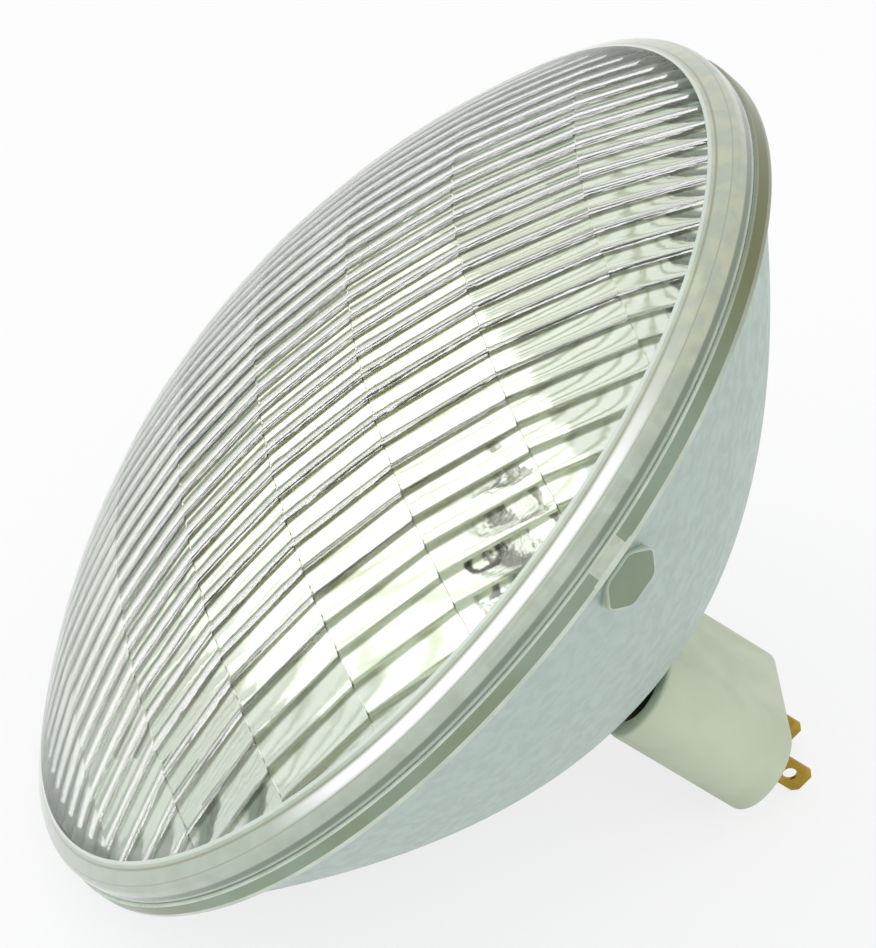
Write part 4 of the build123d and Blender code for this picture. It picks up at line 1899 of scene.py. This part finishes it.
@dataclass
class Burner:
    """The quartz burner on the mirror's focus, with its coil, foils, leads, posts and ferrules."""

    focus_depth: float = 28.31
    coil_radius: float = 2.4
    coil_length: float = 20.0
    wire_radius: float = 0.3
    turns: int = 14
    turn_steps: int = 20
    wire_steps: int = 8
    leg_slant: float = 2.5
    leg_end: float = 21.5
    smooth_angle: float = 60.0

    def build_coil(self, finisher: Finisher) -> None:
        """Models the coil as a wire wound along the burner, with a straight leg at each end.

        Args:
            finisher: Makes and puts on the finishes.
        """
        middle = self.coil_radius - self.wire_radius
        start = -self.coil_length / 2 + self.wire_radius
        Bench.clear()
        bpy.ops.mesh.primitive_circle_add(
            vertices=self.wire_steps,
            radius=self.wire_radius,
            fill_type="NOTHING",
            location=(middle, 0, start),
            rotation=(math.pi / 2, 0, 0),
        )
        coil = Bench.name("filament_coil")
        Bench.bake(coil)
        pitch = (self.coil_length - 2 * self.wire_radius) / self.turns
        Bench.apply(
            coil,
            "SCREW",
            axis="Z",
            angle=FULL_TURN,
            screw_offset=pitch,
            iterations=self.turns,
            steps=self.turn_steps,
            render_steps=self.turn_steps,
            use_merge_vertices=False,
        )
        with editing(coil):
            Bench.close()
            for sign in (1, -1):
                self._draw_leg(coil, sign, middle, -sign * start)
            Bench.close()
        coil.rotation_euler.x = math.pi / 2
        coil.location.z = -self.focus_depth
        Bench.bake(coil)
        Bench.smooth(coil, self.smooth_angle)
        finisher.dress(coil, TUNGSTEN)
        finisher.hand_over(coil, "tungsten", "filament")

    def _draw_leg(self, coil: bpy.types.Object, sign: int, middle: float, end: float) -> None:
        """Draws the wire's end in to the axis and out along it, and closes it.

        Args:
            coil: The coil in edit mode.
            sign: Which end.
            middle: Distance of the wire from the axis.
            end: Height of the wire's end.
        """
        bpy.ops.mesh.select_mode(type=Pick.EDGE.value)
        bpy.ops.mesh.select_all(action="DESELECT")
        shape = bmesh.from_edit_mesh(coil.data)
        for edge in shape.edges:
            if edge.is_boundary and edge.verts[0].co.z * sign > 0:
                edge.select_set(True)
        bmesh.update_edit_mesh(coil.data)
        slant = (-middle, 0, sign * self.leg_slant)
        Bench.extrude(slant)
        run = self.leg_end - abs(end) - self.leg_slant
        Bench.extrude((0, 0, sign * run))
        bpy.ops.mesh.edge_face_add()

    def dress_nodes(self, finisher: Finisher) -> None:
        """Dresses the carried-over pieces of the burner.

        Args:
            finisher: Makes and puts on the finishes.
        """
        finisher.dress_node("burner_envelope", QUARTZ)
        for side in Side:
            finisher.dress_node(f"foil_{side.word}", MOLYBDENUM)
            finisher.dress_node(f"burner_lead_{side.word}", MOLYBDENUM)
            finisher.dress_node(f"support_post_{side.word}", NICKEL)
            finisher.dress_node(f"ferrule_{side.word}", NICKEL)


@dataclass(frozen=True)
class SoftLamp:
    """A broad lamp that points at the object."""

    name: str
    power: float
    size: float
    place: tuple[float, float, float]

    def hang(self) -> None:
        """Hangs the lamp in its place."""
        light = bpy.data.lights.new(self.name, "AREA")
        light.energy = self.power
        light.size = self.size
        lamp = bpy.data.objects.new(self.name, light)
        bpy.context.collection.objects.link(lamp)
        lamp.location = self.place
        lamp.rotation_euler = (-Vector(self.place)).to_track_quat("-Z", "Y").to_euler()


@dataclass
class Studio:
    """Pale floor, soft light and the camera."""

    floor_size: float = 8.0
    floor_colour: Colour = (0.93, 0.93, 0.95, 1.0)
    floor_roughness: float = 0.9
    floor_specular: float = 0.1
    floor_white: float = 0.76
    sky_colour: Colour = (1.0, 1.0, 1.0, 1.0)
    sky_level: float = 0.80
    background: float = 1.0
    lamps: tuple[SoftLamp, ...] = (
        SoftLamp("key_softbox", 8.0, 1.7, (0.0, -1.05, 1.15)),
        SoftLamp("fill_softbox", 3.0, 1.2, (1.3, 0.45, 0.3)),
    )
    camera_azimuth: float = 87.456
    camera_elevation: float = 33.177
    camera_roll: float = -0.041
    camera_distance: float = 0.65455
    camera_aim: tuple[float, float, float] = (0.002053, 0.002587, 0.077622)
    camera_lens: float = 125.316

    def build(self) -> None:
        """Builds floor, sky, lamps and camera."""
        self.build_floor()
        self.build_sky()
        for lamp in self.lamps:
            lamp.hang()
        self.build_camera()

    def build_floor(self) -> None:
        """Lays a wide pale floor that takes the shadow."""
        Bench.clear()
        bpy.ops.mesh.primitive_plane_add(size=self.floor_size)
        floor = Bench.name("studio_floor")
        material = bpy.data.materials.new("studio_floor")
        material.use_nodes = True
        tree = material.node_tree
        surface = tree.nodes["Principled BSDF"]
        surface.inputs["Base Color"].default_value = self.floor_colour
        surface.inputs["Roughness"].default_value = self.floor_roughness
        surface.inputs["Specular IOR Level"].default_value = self.floor_specular
        white = tree.nodes.new("ShaderNodeEmission")
        white.inputs["Strength"].default_value = self.background
        mix = tree.nodes.new("ShaderNodeMixShader")
        tree.links.new(self._seen(tree, 0.0, self.floor_white), mix.inputs["Fac"])
        tree.links.new(surface.outputs["BSDF"], mix.inputs[1])
        tree.links.new(white.outputs["Emission"], mix.inputs[2])
        tree.links.new(mix.outputs["Shader"], tree.nodes["Material Output"].inputs["Surface"])
        floor.data.materials.append(material)

    def build_sky(self) -> None:
        """Lights the scene evenly, and shows plain white where the camera, metal or glass sees the sky."""
        world = bpy.data.worlds.new("studio_sky")
        world.use_nodes = True
        bpy.context.scene.world = world
        tree = world.node_tree
        sky = tree.nodes["Background"]
        sky.inputs["Color"].default_value = self.sky_colour
        tree.links.new(self._seen(tree, self.sky_level, self.background), sky.inputs["Strength"])

    @staticmethod
    def _seen(tree: bpy.types.NodeTree, unseen: float, seen: float) -> bpy.types.NodeSocket:
        """A number that differs where the camera, metal or glass looks.

        Args:
            tree: The tree to build it in.
            unseen: The number for all other rays.
            seen: The number for rays from the camera, and for reflected and refracted ones.

        Returns:
            The number's socket.
        """
        rays = tree.nodes.new("ShaderNodeLightPath")
        looks = rays.outputs["Is Camera Ray"]
        for word in ("Is Glossy Ray", "Is Transmission Ray"):
            node = tree.nodes.new("ShaderNodeMath")
            node.operation = "MAXIMUM"
            tree.links.new(looks, node.inputs[0])
            tree.links.new(rays.outputs[word], node.inputs[1])
            looks = node.outputs[0]
        level = tree.nodes.new("ShaderNodeMapRange")
        level.inputs["To Min"].default_value = unseen
        level.inputs["To Max"].default_value = seen
        tree.links.new(looks, level.inputs["Value"])
        return level.outputs["Result"]

    def build_camera(self) -> None:
        """Sets the camera at the photograph's viewing angle."""
        azimuth, elevation = math.radians(self.camera_azimuth), math.radians(self.camera_elevation)
        flat = math.cos(elevation)
        way = Vector((flat * math.sin(azimuth), -flat * math.cos(azimuth), math.sin(elevation)))
        data = bpy.data.cameras.new("photo_camera")
        data.lens = self.camera_lens
        camera = bpy.data.objects.new("photo_camera", data)
        bpy.context.collection.objects.link(camera)
        camera.location = Vector(self.camera_aim) + way * self.camera_distance
        turn = (-way).to_track_quat("-Z", "Y").to_matrix()
        turn = turn @ Matrix.Rotation(math.radians(self.camera_roll), 3, "Z")
        camera.rotation_euler = turn.to_euler()
        bpy.context.scene.camera = camera


def main() -> None:
    """Builds the sub-assemblies in order."""
    logging.basicConfig(level=logging.INFO, format="%(name)s: %(message)s")
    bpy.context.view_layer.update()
    bpy.context.scene.view_settings.view_transform = "Standard"
    bowl = Bowl()
    finisher = Finisher(LampPlace.from_record(frame["record"], bowl.flange_thickness))
    Lens().build(finisher)
    bowl.build(finisher)
    base = Base()
    base.build_block(finisher)
    base.build_cement(finisher)
    for side in Side:
        Blades().build(side, finisher)
    burner = Burner()
    burner.build_coil(finisher)
    burner.dress_nodes(finisher)
    Studio().build()


if __name__ == "__main__":
    main()
